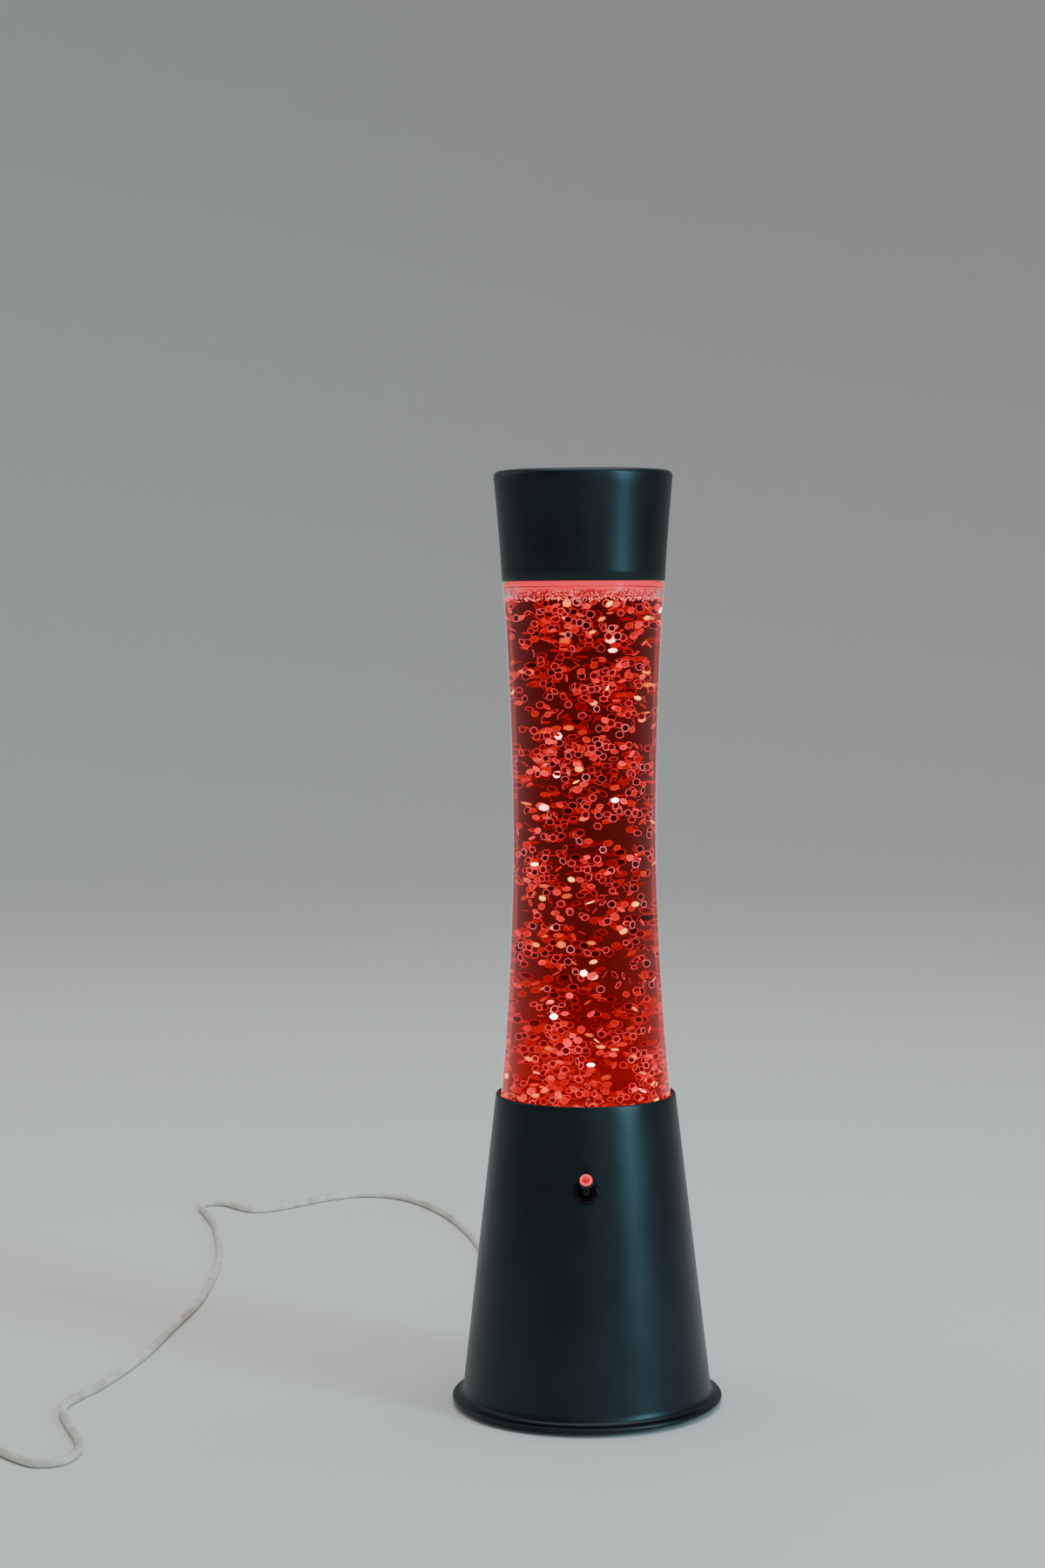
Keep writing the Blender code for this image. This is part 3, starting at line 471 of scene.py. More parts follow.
def anodised(name, dark, light):
    """Turned and anodised aluminium, between two tones."""
    made, tree, shader = new_material(name, light, 0.34, Metallic=1.0, Anisotropic=0.4)
    place = add_node(tree, "TexCoord").outputs["Object"]
    flat = add_node(tree, "VectorMath", {"operation": "MULTIPLY", 1: (1, 1, 0)}, {0: place})
    radius = add_node(tree, "VectorMath", {"operation": "LENGTH"}, {0: flat.outputs["Vector"]})
    split = add_node(tree, "SeparateXYZ", links={"Vector": place})
    run = add_node(tree, "Math", {"operation": "ADD"},
                   {0: split.outputs["Z"], 1: radius.outputs["Value"]})
    along = add_node(tree, "CombineXYZ", links={"Z": run.outputs["Value"]})
    rings = add_node(tree, "TexNoise", {"Scale": per_metre(0.5), "Detail": 5.0,
                                        "Roughness": 0.7}, {"Vector": along.outputs["Vector"]})
    clouds = add_node(tree, "TexNoise", {"Scale": per_metre(22), "Detail": 4.0},
                      {"Vector": place})
    speck = add_node(tree, "TexNoise", {"Scale": per_metre(0.35), "Detail": 2.0},
                     {"Vector": place})
    mixed = add_node(tree, "Mix", {"data_type": "FLOAT", "Factor": 0.45},
                     {"A": rings.outputs["Fac"], "B": clouds.outputs["Fac"]})
    add_node(tree, "ValToRGB", {"stops": [(0.25, dark), (0.75, light)]},
             {"Fac": mixed.outputs["Result"]}, to=shader.inputs["Base Color"])
    add_node(tree, "MapRange", {"From Min": 0.3, "From Max": 0.7, "To Min": 0.29, "To Max": 0.4},
             {"Value": mixed.outputs["Result"]}, to=shader.inputs["Roughness"])
    add_node(tree, "Tangent", {"direction_type": "RADIAL", "axis": "Z"},
             to=shader.inputs["Tangent"])
    both = add_node(tree, "Math", {"operation": "ADD"},
                    {0: rings.outputs["Fac"], 1: speck.outputs["Fac"]})
    add_node(tree, "Bump", {"Strength": 0.12, "Distance": 0.05 * MM},
             {"Height": both.outputs["Value"]}, to=shader.inputs["Normal"])
    return made


base_metal = anodised("dark_anodised_aluminium", "#262C2F", "#353F44")

# %% [markdown]
# ## The base
# The base is one spun cone. Its upper rim is rolled in around the bottle, and its foot is
# rolled out into a narrow lip that stands just clear of the table on rubber feet. Spinning the
# outline keeps the wall one closed skin, and two Booleans cut the holes for switch and lead.

# %% Base shell
RIM_R, RIM_Z = 38.6, 134.6
CONE_FOOT_R, CONE_FOOT_Z = 53.5, 6.6
CONE_SLOPE = (CONE_FOOT_R - RIM_R) / (RIM_Z - CONE_FOOT_Z)
OPENING_R, WALL, ROLL_R = 37.3, 1.2, 0.75


def cone_r(z):
    """Outer radius of the base's wall at a height."""
    return RIM_R + CONE_SLOPE * (RIM_Z - z)


def steps_between(low, high, count):
    """Heights spread evenly from low to high."""
    return [low + (high - low) * k / (count - 1) for k in range(count)]


SWITCH_Z, SWITCH_HOLE_R, LEAD_HOLE_R = 100.0, 3.5, 3.3
LEAN = math.atan(CONE_SLOPE)
SWITCH_FRAME = (Matrix.Translation(Vector((0, -cone_r(SWITCH_Z), SWITCH_Z)) * MM)
                @ Matrix.Rotation(math.pi / 2 - LEAN, 4, "X"))
outer = arc(RIM_R - ROLL_R, RIM_Z - ROLL_R, ROLL_R, 100, 6, 6)
outer += [(cone_r(z), z) for z in steps_between(RIM_Z - 2.5, CONE_FOOT_Z + 1.2, 14)]
outer += [(53.6, 5.9), (53.95, 5.25), (54.6, 4.7), (55.4, 4.35), (56.3, 4.1), (57.1, 3.95)]
outer += arc(57.25, 3.0, 0.95, 80, -80, 7)
inner = [(56.4, 2.1), (55.2, 2.5), (53.9, 3.2), (52.9, 4.4), (52.35, 5.8)]
inner += [(cone_r(z) - WALL, z) for z in steps_between(CONE_FOOT_Z + 1.2, RIM_Z - 3.4, 10)]
inner += [(OPENING_R, RIM_Z - 1.9), (OPENING_R - 0.05, RIM_Z - 0.9),
          (OPENING_R + 0.2, RIM_Z - 0.2)]
base = piece("base_cone", spin(outer + inner, 192), base_metal, "base",
             ["base_shell"], sharp=50)
cut_holes(base, [cutter(drill(SWITCH_HOLE_R), SWITCH_FRAME),
                 cutter(drill(LEAD_HOLE_R), EXIT_FRAME)])

# %% [markdown]
# ## The cap
# The cap is spun too: it widens upwards a little faster near its top, where a small radius
# turns it into a flat lid. It is hollow and drops over the bottle's neck. A straight cone would
# be simpler, but its side would look stiff beside the bottle's curve, so the radius follows a
# power of the height.

# %% Top cap
HEIGHT, CAP_Z, CAP_LOW_R, CAP_HIGH_R, CAP_CORNER, CAP_WALL = 400.0, 353.4, 34.7, 38.0, 2.4, 1.0


def cap_r(z):
    """Outer radius of the cap's wall at a height."""
    share = (z - CAP_Z) / (HEIGHT - CAP_CORNER - CAP_Z)
    return CAP_LOW_R + (CAP_HIGH_R - CAP_LOW_R) * share ** 1.25


cap_heights = steps_between(CAP_Z + 0.5, HEIGHT - CAP_CORNER, 12)
outer = [(CAP_LOW_R - 0.35, CAP_Z)] + [(cap_r(z), z) for z in cap_heights]
outer += arc(CAP_HIGH_R - CAP_CORNER, HEIGHT - CAP_CORNER, CAP_CORNER, 10, 90, 8)
outer += [(20, HEIGHT), (0, HEIGHT)]
inner = [(0, HEIGHT - CAP_WALL), (CAP_HIGH_R - CAP_CORNER, HEIGHT - CAP_WALL)]
inner += [(cap_r(z) - CAP_WALL, z) for z in reversed(cap_heights)]
inner += [(CAP_LOW_R - CAP_WALL + 0.25, CAP_Z)]
piece("cap", spin(outer + inner, 192), base_metal, "top_cap",
      ["top_cap"], sharp=50)

# %% [markdown]
# ## The bottle
# The bottle is blown soda-lime glass, about 2.6 mm thick: widest where it sits in the base, a
# long waist, and a shoulder and neck hidden by the cap. A lens-like single skin would bend light
# wrongly: clear glass needs both of its surfaces, so the outline runs up the outside and down
# the inside. Two powers of the distance from the waist give the swell below and above it.

# %% Bottle outline
BOTTLE_Z, SEAT_R, GLASS, FLOOR_GLASS = 118.0, 36.4, 2.6, 3.6
HEEL_R, INNER_HEEL_R = 4.6, 3.2
WAIST_R, WAIST_Z, SWELL_LOW, SWELL_HIGH = 30.55, 245.0, 5.75, 3.75
SWELL_LOW_Z, SWELL_HIGH_Z, STRAIGHT_Z = 135.0, 353.0, 348.6
SHOULDER_Z, NECK_R, NECK_BORE_R, NECK_Z, LIQUID_Z = 346.0, 14.5, 11.6, 384.0, 347.2
SHOULDER_CORNER = arc(33.35, 352.0, 1.0, 4, 76, 5)
SHOULDER = [(32.6, 353.5), (30.8, 356.0), (26.0, 359.2), (19.0, 363.4), (15.4, 368.0),
            (NECK_R, 373.0)]


def bottle_r(z):
    """Outer radius of the bottle from the base to the shoulder."""
    if z < WAIST_Z:
        share = (WAIST_Z - z) / (WAIST_Z - SWELL_LOW_Z)
        return min(SEAT_R, WAIST_R + SWELL_LOW * share ** 1.7)
    share = (z - WAIST_Z) / (SWELL_HIGH_Z - WAIST_Z)
    return WAIST_R + SWELL_HIGH * share ** 1.9


wall_heights = [126.0, 130.0, 133.0] + steps_between(136.0, SHOULDER_Z, 48)
shoulder = [(bottle_r(STRAIGHT_Z), STRAIGHT_Z), (34.3, 350.4), *SHOULDER_CORNER]
shoulder += [(p.x, p.z) for p in smooth([Vector((r, 0, z)) for r, z in SHOULDER], 4)]
outside = [(0, BOTTLE_Z + 1.2), (20, BOTTLE_Z + 0.9), (29, BOTTLE_Z)]
outside += arc(SEAT_R - HEEL_R, BOTTLE_Z + HEEL_R, HEEL_R, -88, 0, 8)
outside += [(bottle_r(z), z) for z in wall_heights] + shoulder
outside += [(NECK_R, NECK_Z - 0.6), (NECK_R - 0.5, NECK_Z)]
inside = [(NECK_BORE_R + 0.5, NECK_Z), (NECK_BORE_R, NECK_Z - 0.6)]
inside += [(max(r - GLASS, NECK_BORE_R), z - 1.6) for r, z in reversed(shoulder)]
inside += [(bottle_r(z) - GLASS, z) for z in reversed(wall_heights)]
FLOOR_Z = BOTTLE_Z + FLOOR_GLASS
inside += arc(SEAT_R - GLASS - INNER_HEEL_R, FLOOR_Z + INNER_HEEL_R, INNER_HEEL_R, 0, -88, 6)
inside += [(20, FLOOR_Z), (0, FLOOR_Z)]
print(f"bottle: waist {2 * WAIST_R:.1f} mm, seat {2 * SEAT_R:.1f} mm across")

# %% [markdown]
# ## Blown glass
# The liquid wets the inside of the wall, and its index is close to the glass's, so the inner
# surface bends light but hardly reflects: it gets a glass of its own with a black specular tint.
# The outside reflects the room softly. Blown glass is never quite flat, so both ripple slowly.
# The wall also carries red light round to its edges, as any lit glass does. Tracing that light
# would take very many rays, so that light is painted on as a glow where the glass is seen edge-on.

# %% Soda-lime glass, dry and wet
NO_SHINE, SOFT_SHINE = linear("#000000"), linear("#686868")


def blown_glass(name, shine, strength, ripple_mm):
    """Clear glass with a slow ripple; shine tints what it reflects."""
    made, tree, shader = new_material(name, "#FFF4F2", 0.015, IOR=1.5, Transmission_Weight=1.0,
                                      Specular_Tint=shine)
    ripple = add_node(tree, "TexNoise", {"Scale": per_metre(30), "Detail": 1.0},
                      {"Vector": add_node(tree, "TexCoord").outputs["Object"]})
    add_node(tree, "Bump", {"Strength": strength, "Distance": ripple_mm * MM},
             {"Height": ripple.outputs["Fac"]}, to=shader.inputs["Normal"])
    return made, tree, shader


wet_glass, tree, shader = blown_glass("wet_inner_glass", NO_SHINE, 0.1, 0.2)
clear_glass, tree, shader = blown_glass("blown_soda_lime_glass", SOFT_SHINE, 0.2, 0.25)
# Painted light: a red glow, white at the silhouette, set by how edge-on the glass is seen.
edge_on = add_node(tree, "LayerWeight", {"Blend": 0.5})
PAINTED_EDGE_GLOW = [(0.0, "#000000"), (0.60, "#000000"), (0.67, "#B00008"), (0.74, "#3A0002"),
             (0.84, "#500004"), (0.90, "#E8202C"), (1.0, "#FFFFFF")]
add_node(tree, "ValToRGB", {"stops": PAINTED_EDGE_GLOW}, {"Fac": edge_on.outputs["Facing"]},
         to=shader.inputs["Emission Color"])
shader.inputs["Emission Strength"].default_value = 0.8

# %% Glass bottle
bottle = piece("glass_bottle", spin(outside + inside, 160), clear_glass, "bottle",
               ["bottle_glass"], sharp=60)
bottle.data.materials.append(wet_glass)
for face in bottle.data.polygons:
    outwards = face.normal.dot(Vector((face.center.x, face.center.y, 0)).normalized())
    if face.center.z < LIQUID_Z * MM and (outwards < -0.5 or face.normal.z > 0.5):
        face.material_index = 1

# %% [markdown]
# ## The liquid
# The liquid is clear oil dyed red. Red glass would be as red at its edge as in its middle. A dye
# takes out green and blue a little more with every millimetre that light travels, so this is a
# volume that absorbs, and its edge, where light has less of it to cross, stays brighter. The
# lamp is under the bottle, and its light in the liquid is painted on as a red glow near the
# bottom that dies away with height. The liquid reaches a hair into the glass, so no film of air
# shows between them.

# %% Dyed red oil
red_liquid, tree, shader = new_material("dyed_red_liquid", "#FFFFFF", 0.02, IOR=1.36,
                                        Transmission_Weight=1.0, Specular_Tint=NO_SHINE)
# Painted glow: the lamp's light in the liquid, strongest near the bottom.
shader.inputs["Emission Color"].default_value = linear("#FF0606")
split = add_node(tree, "SeparateXYZ", links={
    "Vector": add_node(tree, "TexCoord").outputs["Object"]})
GLOW_LOW, GLOW_HIGH, GLOW_FADE = 129 * MM, 215 * MM, 2.2
near_lamp = add_node(tree, "MapRange", {"From Min": GLOW_LOW, "From Max": GLOW_HIGH,
                                        "To Min": 1.0, "To Max": 0.0},
                     {"Value": split.outputs["Z"]})
glow = add_node(tree, "Math", {"operation": "POWER", 1: GLOW_FADE},
                {0: near_lamp.outputs["Result"]})
add_node(tree, "MapRange", {"To Min": 0.03, "To Max": 0.3}, {"Value": glow.outputs[0]},
         to=shader.inputs["Emission Strength"])
add_node(tree, "VolumeAbsorption", {"Color": linear("#D04945"), "Density": 85.0},
         to=tree.nodes["Material Output"].inputs["Volume"])

# %% Liquid
INTO_GLASS, STIRRER_R, STIRRER_Z = 0.05, 15.2, 129.0
HEEL_MIDDLE = INNER_HEEL_R + 0.04
liquid = [(0, STIRRER_Z), (STIRRER_R, STIRRER_Z), (STIRRER_R, FLOOR_Z - INTO_GLASS)]
liquid += arc(SEAT_R - GLASS - HEEL_MIDDLE, FLOOR_Z + HEEL_MIDDLE, INNER_HEEL_R, -88, 0, 6)
liquid += [(bottle_r(z) - GLASS + INTO_GLASS, z) for z in wall_heights]
liquid += [(bottle_r(SHOULDER_Z) - GLASS + INTO_GLASS, LIQUID_Z - 0.1), (30.0, LIQUID_Z - 0.5),
           (0, LIQUID_Z - 0.6)]
piece("liquid", spin(liquid, 128), red_liquid, "bottle", ["red_liquid"], sharp=60)

# %% [markdown]
# ## The glitter
# The glitter is six-sided flakes punched from metallised film, about 3.5 mm across. Particles
# would place them faster, but they would overlap and could not be told apart by kind. So each
# flake is its own thin six-sided plate, thrown at random and kept only where it stays clear of
# its neighbours, and more are kept where a slow noise says that they gather.

# %% Flake positions
random.seed(11)
FLAKE_COUNT, FLAKE_R, FLAKE_THICK, SPACING = 1800, 1.75, 0.1, 3.2
FLAKE_LOW, FLAKE_HIGH = BOTTLE_Z + 8.0, LIQUID_Z - 2.0
CLUMP, SMALL_CLUMP, CROWDED_BELOW, CROWDED_ABOVE = 16.0, 7.0, 165, 325


def crowding(spot):
    """How likely a flake is to stay: they gather in clumps, at the top and at the bottom."""
    clump = noise.noise(spot / CLUMP) + 0.5 * noise.noise(spot / SMALL_CLUMP)
    ends = max(0.0, (spot.z - CROWDED_ABOVE) / 22) + max(0.0, (CROWDED_BELOW - spot.z) / 30)
    return 0.34 + 2.0 * clump + 0.9 * ends


def scatter(count):
    """Random places in the liquid that keep their distance from each other."""
    cells, spots, tries = {}, [], 0
    while len(spots) < count and tries < count * 80:
        tries += 1
        z = random.uniform(FLAKE_LOW, FLAKE_HIGH)
        radius = (bottle_r(z) - GLASS - 2.1) * math.sqrt(random.random())
        angle = random.uniform(0, 2 * math.pi)
        spot = Vector((radius * math.cos(angle), radius * math.sin(angle), z))
        by_stirrer = z < STIRRER_Z + 2 and radius < STIRRER_R + 2.8
        if by_stirrer or random.random() > crowding(spot):
            continue
        key = tuple(int(c // SPACING) for c in spot)
        near = [q for dx in (-1, 0, 1) for dy in (-1, 0, 1) for dz in (-1, 0, 1)
                for q in cells.get((key[0] + dx, key[1] + dy, key[2] + dz), [])]
        if all((q - spot).length > SPACING for q in near):
            cells.setdefault(key, []).append(spot)
            spots.append(spot)
    return spots


spots = scatter(FLAKE_COUNT)
print(f"{len(spots)} flakes placed")

# %% [markdown]
# ## One flake
# A flake is punched, so it is a flat plate with a sharp edge, but its light is not even: the
# film bends down where the punch cuts it. Each side is a core face with two rings round it, and
# core, ring and rim each get their own painted glow; in most kinds the rim's is a painted lit
# edge. A bevel would do the same at many more faces.

# %% Flake mesh
CORE, RING = 0.64, 0.84


def flake_mesh(bm, spot, turn, size):
    """Add one flake: a core face and two rings on each side, and its edge."""
    place = Matrix.Translation(spot) @ turn.to_matrix().to_4x4()
    corners = [(size * math.cos(k * math.pi / 3), size * math.sin(k * math.pi / 3))
               for k in range(6)]
    loops = []
    for share, side in ((CORE, 0.5), (RING, 0.5), (1, 0.5), (1, -0.5), (RING, -0.5), (CORE, -0.5)):
        loops.append([bm.verts.new(place @ Vector((x * share, y * share, side * FLAKE_THICK)) * MM)
                      for x, y in corners])
    bm.faces.new(loops[0]).material_index = 0
    bm.faces.new(loops[-1][::-1]).material_index = 0
    for ring, (a, b) in enumerate(zip(loops, loops[1:])):
        for k in range(6):
            n = (k + 1) % 6
            bm.faces.new((a[k], b[k], b[n], a[n])).material_index = 1 if ring in (0, 4) else 2


def flake_turn(lean, heading):
    """Lean a flat flake by lean degrees towards a heading, after turning it in its plane."""
    axis = Vector((math.cos(heading), math.sin(heading), 0))
    return Quaternion(axis, math.radians(lean)) @ Quaternion(
        (0, 0, 1), random.uniform(0, math.pi / 3))


# %% [markdown]
# ## Metallised film
# The lamp's light comes from below, so a flake that lies nearly flat flashes bright, one that
# faces the room shows dark with a lit rim, and a few send the lamp straight to the eye. Mirror
# flakes would need all of that light traced through dyed oil, so each kind is the same film with
# its own lean, and that light is painted on as its own glow: painted shade in the dark and
# outline kinds, painted lit faces in the red and coral ones, painted lit rims on most, and
# painted glints in the gold and white ones. The glow is added to a thin metal whose fine
# crinkles vary the roughness.

# %% Metallised film with painted light


def film(name, *zones):
    """Core, ring and rim materials of one kind of flake, each a colour and a painted glow."""
    looks = []
    for zone, (colour, glow) in zip(("core", "ring", "rim"), zones):
        made, tree, shader = new_material(f"metallised_film_{name}_{zone}", colour, 0.3,
                                          Metallic=0.7)
        # Painted light: the glow stands for the lamp's light on this zone of the flake.
        shader.inputs["Emission Color"].default_value = linear(colour)
        shader.inputs["Emission Strength"].default_value = glow
        crinkle = add_node(tree, "TexNoise", {"Scale": per_metre(0.7), "Detail": 2.0},
                           {"Vector": add_node(tree, "TexCoord").outputs["Object"]})
        add_node(tree, "MapRange", {"To Min": 0.22, "To Max": 0.38},
                 {"Value": crinkle.outputs["Fac"]}, to=shader.inputs["Roughness"])
        looks.append(made)
    return looks


# %% Flake kinds, one film with painted light: their share, lean and its spread in degrees, and zones
# Each zone is a colour and a painted glow: painted shade, lit faces and lit rims, and painted
# glints.
KINDS = {
    "dark": (0.20, 82, 16, (("#38000A", 0.12), ("#70000A", 0.3), ("#FF7484", 1.7))),
    "outline": (0.34, 62, 20, (("#8A0008", 0.28), ("#D00010", 0.45), ("#FF4C5C", 1.75))),
    "red": (0.28, 45, 16, (("#FF0006", 0.72), ("#FF0410", 0.62), ("#FF3A4A", 1.6))),
    "coral": (0.12, 42, 12, (("#FF1C2C", 1.6), ("#FF2836", 1.8), ("#FF4854", 2.2))),
    "gold": (0.05, 40, 12, (("#FFCE70", 3.6), ("#FFB850", 3.2), ("#FFA848", 3.0))),
    "white": (0.01, 48, 15, (("#FFF4E8", 18.0), ("#FFF0E0", 18.0), ("#FFE0D0", 14.0))),
}
TIPPED_TO_ROOM, HEADING_SPREAD = 0.55, 0.35
groups = {kind: bmesh.new() for kind in KINDS}
for spot in spots:
    draw, total = random.random(), 0.0
    for kind, (share, lean, spread, _) in KINDS.items():
        total += share
        if draw < total:
            break
    if random.random() < TIPPED_TO_ROOM:
        heading = random.choice((0, math.pi)) + random.gauss(0, HEADING_SPREAD)
    else:
        heading = random.uniform(0, 2 * math.pi)
    flake_mesh(groups[kind], spot, flake_turn(random.gauss(lean, spread), heading),
               FLAKE_R * random.uniform(0.86, 1.06))
for kind, (_, _, _, zones) in KINDS.items():
    looks = film(kind, *zones)
    flakes = piece(f"glitter_painted_light_{kind}", groups[kind], looks[0], "bottle", sharp=20)
    for look in looks[1:]:
        flakes.data.materials.append(look)

# %% [markdown]
# ## The foam line
# Fine bubbles gather where the liquid meets the glass, just under the cap, and make a pale pink
# band. Its froth is too fine to see singly, so it is a thin ring: an even pink at the top, and
# speckled lower down, where the bubbles are bigger. Cells of 0.8 mm stand for bubbles, and a
# slower noise gathers them. A ring alone would end in a line, so its lower border is separate
# small bubbles. The lamp's light in the froth and bubbles is painted on as a pink glow.

# %% Froth
froth, tree, shader = new_material("red_froth", "#E04858", 0.45, IOR=1.33)
place = add_node(tree, "TexCoord").outputs["Object"]
cells = add_node(tree, "TexVoronoi", {"Scale": per_metre(0.8)}, {"Vector": place})
patches = add_node(tree, "TexNoise", {"Scale": per_metre(2.2), "Detail": 4.0}, {"Vector": place})
mixed = add_node(tree, "Mix", {"data_type": "FLOAT", "Factor": 0.4},
                 {"A": cells.outputs["Distance"], "B": patches.outputs["Fac"]})
EVEN_ABOVE, SPECKLED_BELOW = 350.8 * MM, 348.4 * MM
height = add_node(tree, "SeparateXYZ", links={"Vector": place})
coarse = add_node(tree, "MapRange", {"From Min": EVEN_ABOVE, "From Max": SPECKLED_BELOW},
                  {"Value": height.outputs["Z"]})
patchy = add_node(tree, "Mix", {"data_type": "FLOAT", "A": 0.42},
                  {"Factor": coarse.outputs["Result"], "B": mixed.outputs["Result"]})
PINKS = [(0.27, "#FFC0C8"), (0.4, "#FF3448"), (0.56, "#980812")]
froth_pinks_and_glow = add_node(tree, "ValToRGB", {"stops": PINKS}, {"Fac": patchy.outputs["Result"]},
                 to=shader.inputs["Base Color"])
# Painted glow: the froth's pinks are also its emission, standing for the lamp's light in it.
tree.links.new(froth_pinks_and_glow.outputs["Color"], shader.inputs["Emission Color"])
shader.inputs["Emission Strength"].default_value = 1.2
add_node(tree, "Bump", {"Strength": 0.5, "Distance": 0.2 * MM},
         {"Height": cells.outputs["Distance"]}, to=shader.inputs["Normal"])

# %% Foam ring


def bore_r(z):
    """Inner radius of the bottle near its shoulder."""
    return bottle_r(min(z, STRAIGHT_Z)) - GLASS


ring = [(bore_r(z) + 0.05, z) for z in (LIQUID_Z - 0.1, 348.4, 349.6, 350.6)]
ring += [(bore_r(351) - 0.3, 351.9), (bore_r(351) - 0.8, 353.2), (bore_r(351) - 1.6, 353.4),
         (bore_r(351) - 1.6, 351.2)]
ring += [(bore_r(z) - 0.7, z) for z in (349.6, LIQUID_Z - 0.1)]
piece("foam_ring", spin(ring, 128), froth, "bottle", sharp=60)

# %% Small bubbles
BUBBLE_COUNT = 760
bubble_bm = bmesh.new()
for _ in range(BUBBLE_COUNT):
    angle = random.uniform(0, 2 * math.pi)
    z = LIQUID_Z - random.triangular(0.4, 2.6, 0.6)
    size = random.uniform(0.18, 0.42)
    radius = bore_r(z) - 0.1 - size
    bmesh.ops.create_icosphere(
        bubble_bm, subdivisions=1, radius=size * MM, matrix=Matrix.Translation(
            Vector((radius * math.cos(angle), radius * math.sin(angle), z)) * MM))
# Painted glow: the bubbles' pink emission stands for the lamp's light in them.
bubble_pink = moulded("small_bubbles_painted_glow", "#FFB0B4", 0.2, 0.6, 0.1, IOR=1.33,
                      Emission_Color=linear("#FF5058"), Emission_Strength=1.6)
piece("foam_bubbles", bubble_bm, bubble_pink, "bottle", sharp=60)

# %% [markdown]
# ## The pieces inside
# Frame, motor, boards, leads, feet and closure are seen only when the lamp comes apart. They
# could all be drawn again, but the engineering model's shapes are already right for them, so
# they keep those and get real finishes: moulded plastics and rubber, plated steel, the boards'
# white solder mask and the light emitters' amber phosphor.

# %% Plastics and rubber


def dress(look, *names):
    """Give CAD nodes a finish."""
    for name in names:
        NODES[name].data.materials.clear()
        NODES[name].data.materials.append(look)
    print(look.name, "on", len(names), "inner pieces")


black_abs = moulded("moulded_black_abs", "#161617", 0.5)
white_abs = moulded("moulded_white_abs", "#DAD9D5", 0.48)
black_rubber = moulded("moulded_black_rubber", "#121212", 0.75, 0.7, 0.4)
dress(black_abs, "bottom_cover", "switch_body", "lead_connector", "bottle_closure")
dress(white_abs, "inner_frame", "reflector_ring", "closure_liner")
dress(black_rubber, *[f"foot_pad_{k}" for k in (1, 2, 3, 4)], "seat_gasket", "cap_cushion",
      "cord_tie")
dress(natural_nylon, "motor_end_cap", "magnet_rotor", "stirrer")

# %% Steel, boards, light emitters and leads
dress(plated_steel, "motor_bracket", "motor_can", "motor_shaft",
      *[f"{name}_{k}" for name in ("motor_screw", "bracket_screw", "board_screw",
                                   "rotor_magnet") for k in (1, 2)],
      *[f"{name}_{k}" for name in ("cover_screw", "switch_terminal") for k in (1, 2, 3)])
dress(moulded("solder_mask_white", "#D9DDD6", 0.35), "led_board", "control_board")
emitter = moulded("led_phosphor", "#FFDFA0", 0.3, 0.4, 0.1,
                  Emission_Color=linear("#FFC080"), Emission_Strength=3.0)
dress(emitter, *[f"led_{k}" for k in (1, 2, 3, 4)])
dress(moulded("frosted_polycarbonate", "#F2F0EC", 0.5), "diffuser_lens")
dress(moulded("red_hookup_pvc", "#A01818", 0.4), "motor_lead", "led_lead", "switch_lead")
dress(cord_pvc, "inner_lead")

# %% [markdown]
# ## The switch's finishes
# The switch's metal is plated black: nickel with a faint cloud in its gloss. Its red tip is
# clear acrylic with a small light behind it. Real acrylic over a lamp would need the light
# inside it traced, so it is a red plastic that glows, and its brighter outer ring is a painted
# highlight.

# %% Black nickel plate
black_plate, tree, shader = new_material("black_nickel_plate", "#232325", 0.3, Metallic=1.0)
cloud = add_node(tree, "TexNoise", {"Scale": per_metre(1.1), "Detail": 4.0},
                 {"Vector": add_node(tree, "TexCoord").outputs["Object"]})
add_node(tree, "MapRange", {"To Min": 0.24, "To Max": 0.42}, {"Value": cloud.outputs["Fac"]},
         to=shader.inputs["Roughness"])
add_node(tree, "Bump", {"Strength": 0.15, "Distance": 0.04 * MM},
         {"Height": cloud.outputs["Fac"]}, to=shader.inputs["Normal"])

# %% Lit red acrylic


def lit_acrylic(name, colour, glow_colour, strength):
    """Clear red acrylic with the lamp's light behind it; its mottling is the moulding's flow."""
    made, tree, shader = new_material(name, colour, 0.18, IOR=1.49)
    flow = add_node(tree, "TexNoise", {"Scale": per_metre(1.6), "Detail": 3.0},
                    {"Vector": add_node(tree, "TexCoord").outputs["Object"]})
    shader.inputs["Emission Color"].default_value = linear(glow_colour)
    add_node(tree, "MapRange", {"To Min": 0.7 * strength, "To Max": 1.3 * strength},
             {"Value": flow.outputs["Fac"]}, to=shader.inputs["Emission Strength"])
    return made


tip_core = lit_acrylic("red_acrylic_core", "#600408", "#FF0410", 0.75)
# Painted highlight: the outer ring glows brighter and pinker than the core.
tip_ring = lit_acrylic("red_acrylic_ring_painted_highlight", "#A81824", "#FF4450", 1.4)

# %% [markdown]
# ## The switch
# A small toggle switch is held in the wall by a hexagonal nut on a threaded bushing. The nut is
# a hexagon whose corners a lathe has turned off at 30 degrees. A bevelled hexagon would be cut
# back as much along its flats, so the top is lofted instead: its height follows how far each
# point stands out past the flat, and only the corners fall away.

# %% Lock nut
NUT_FLATS, NUT_LOW, NUT_HIGH, NUT_BORE_R = 9.6, 1.3, 3.5, 3.25


def hexagon_r(angle, flats=NUT_FLATS):
    """Distance from the middle to a hexagon's edge, in the direction of angle."""
    sixth = math.pi / 3
    return flats / 2 / math.cos((angle + math.pi) % sixth - sixth / 2)


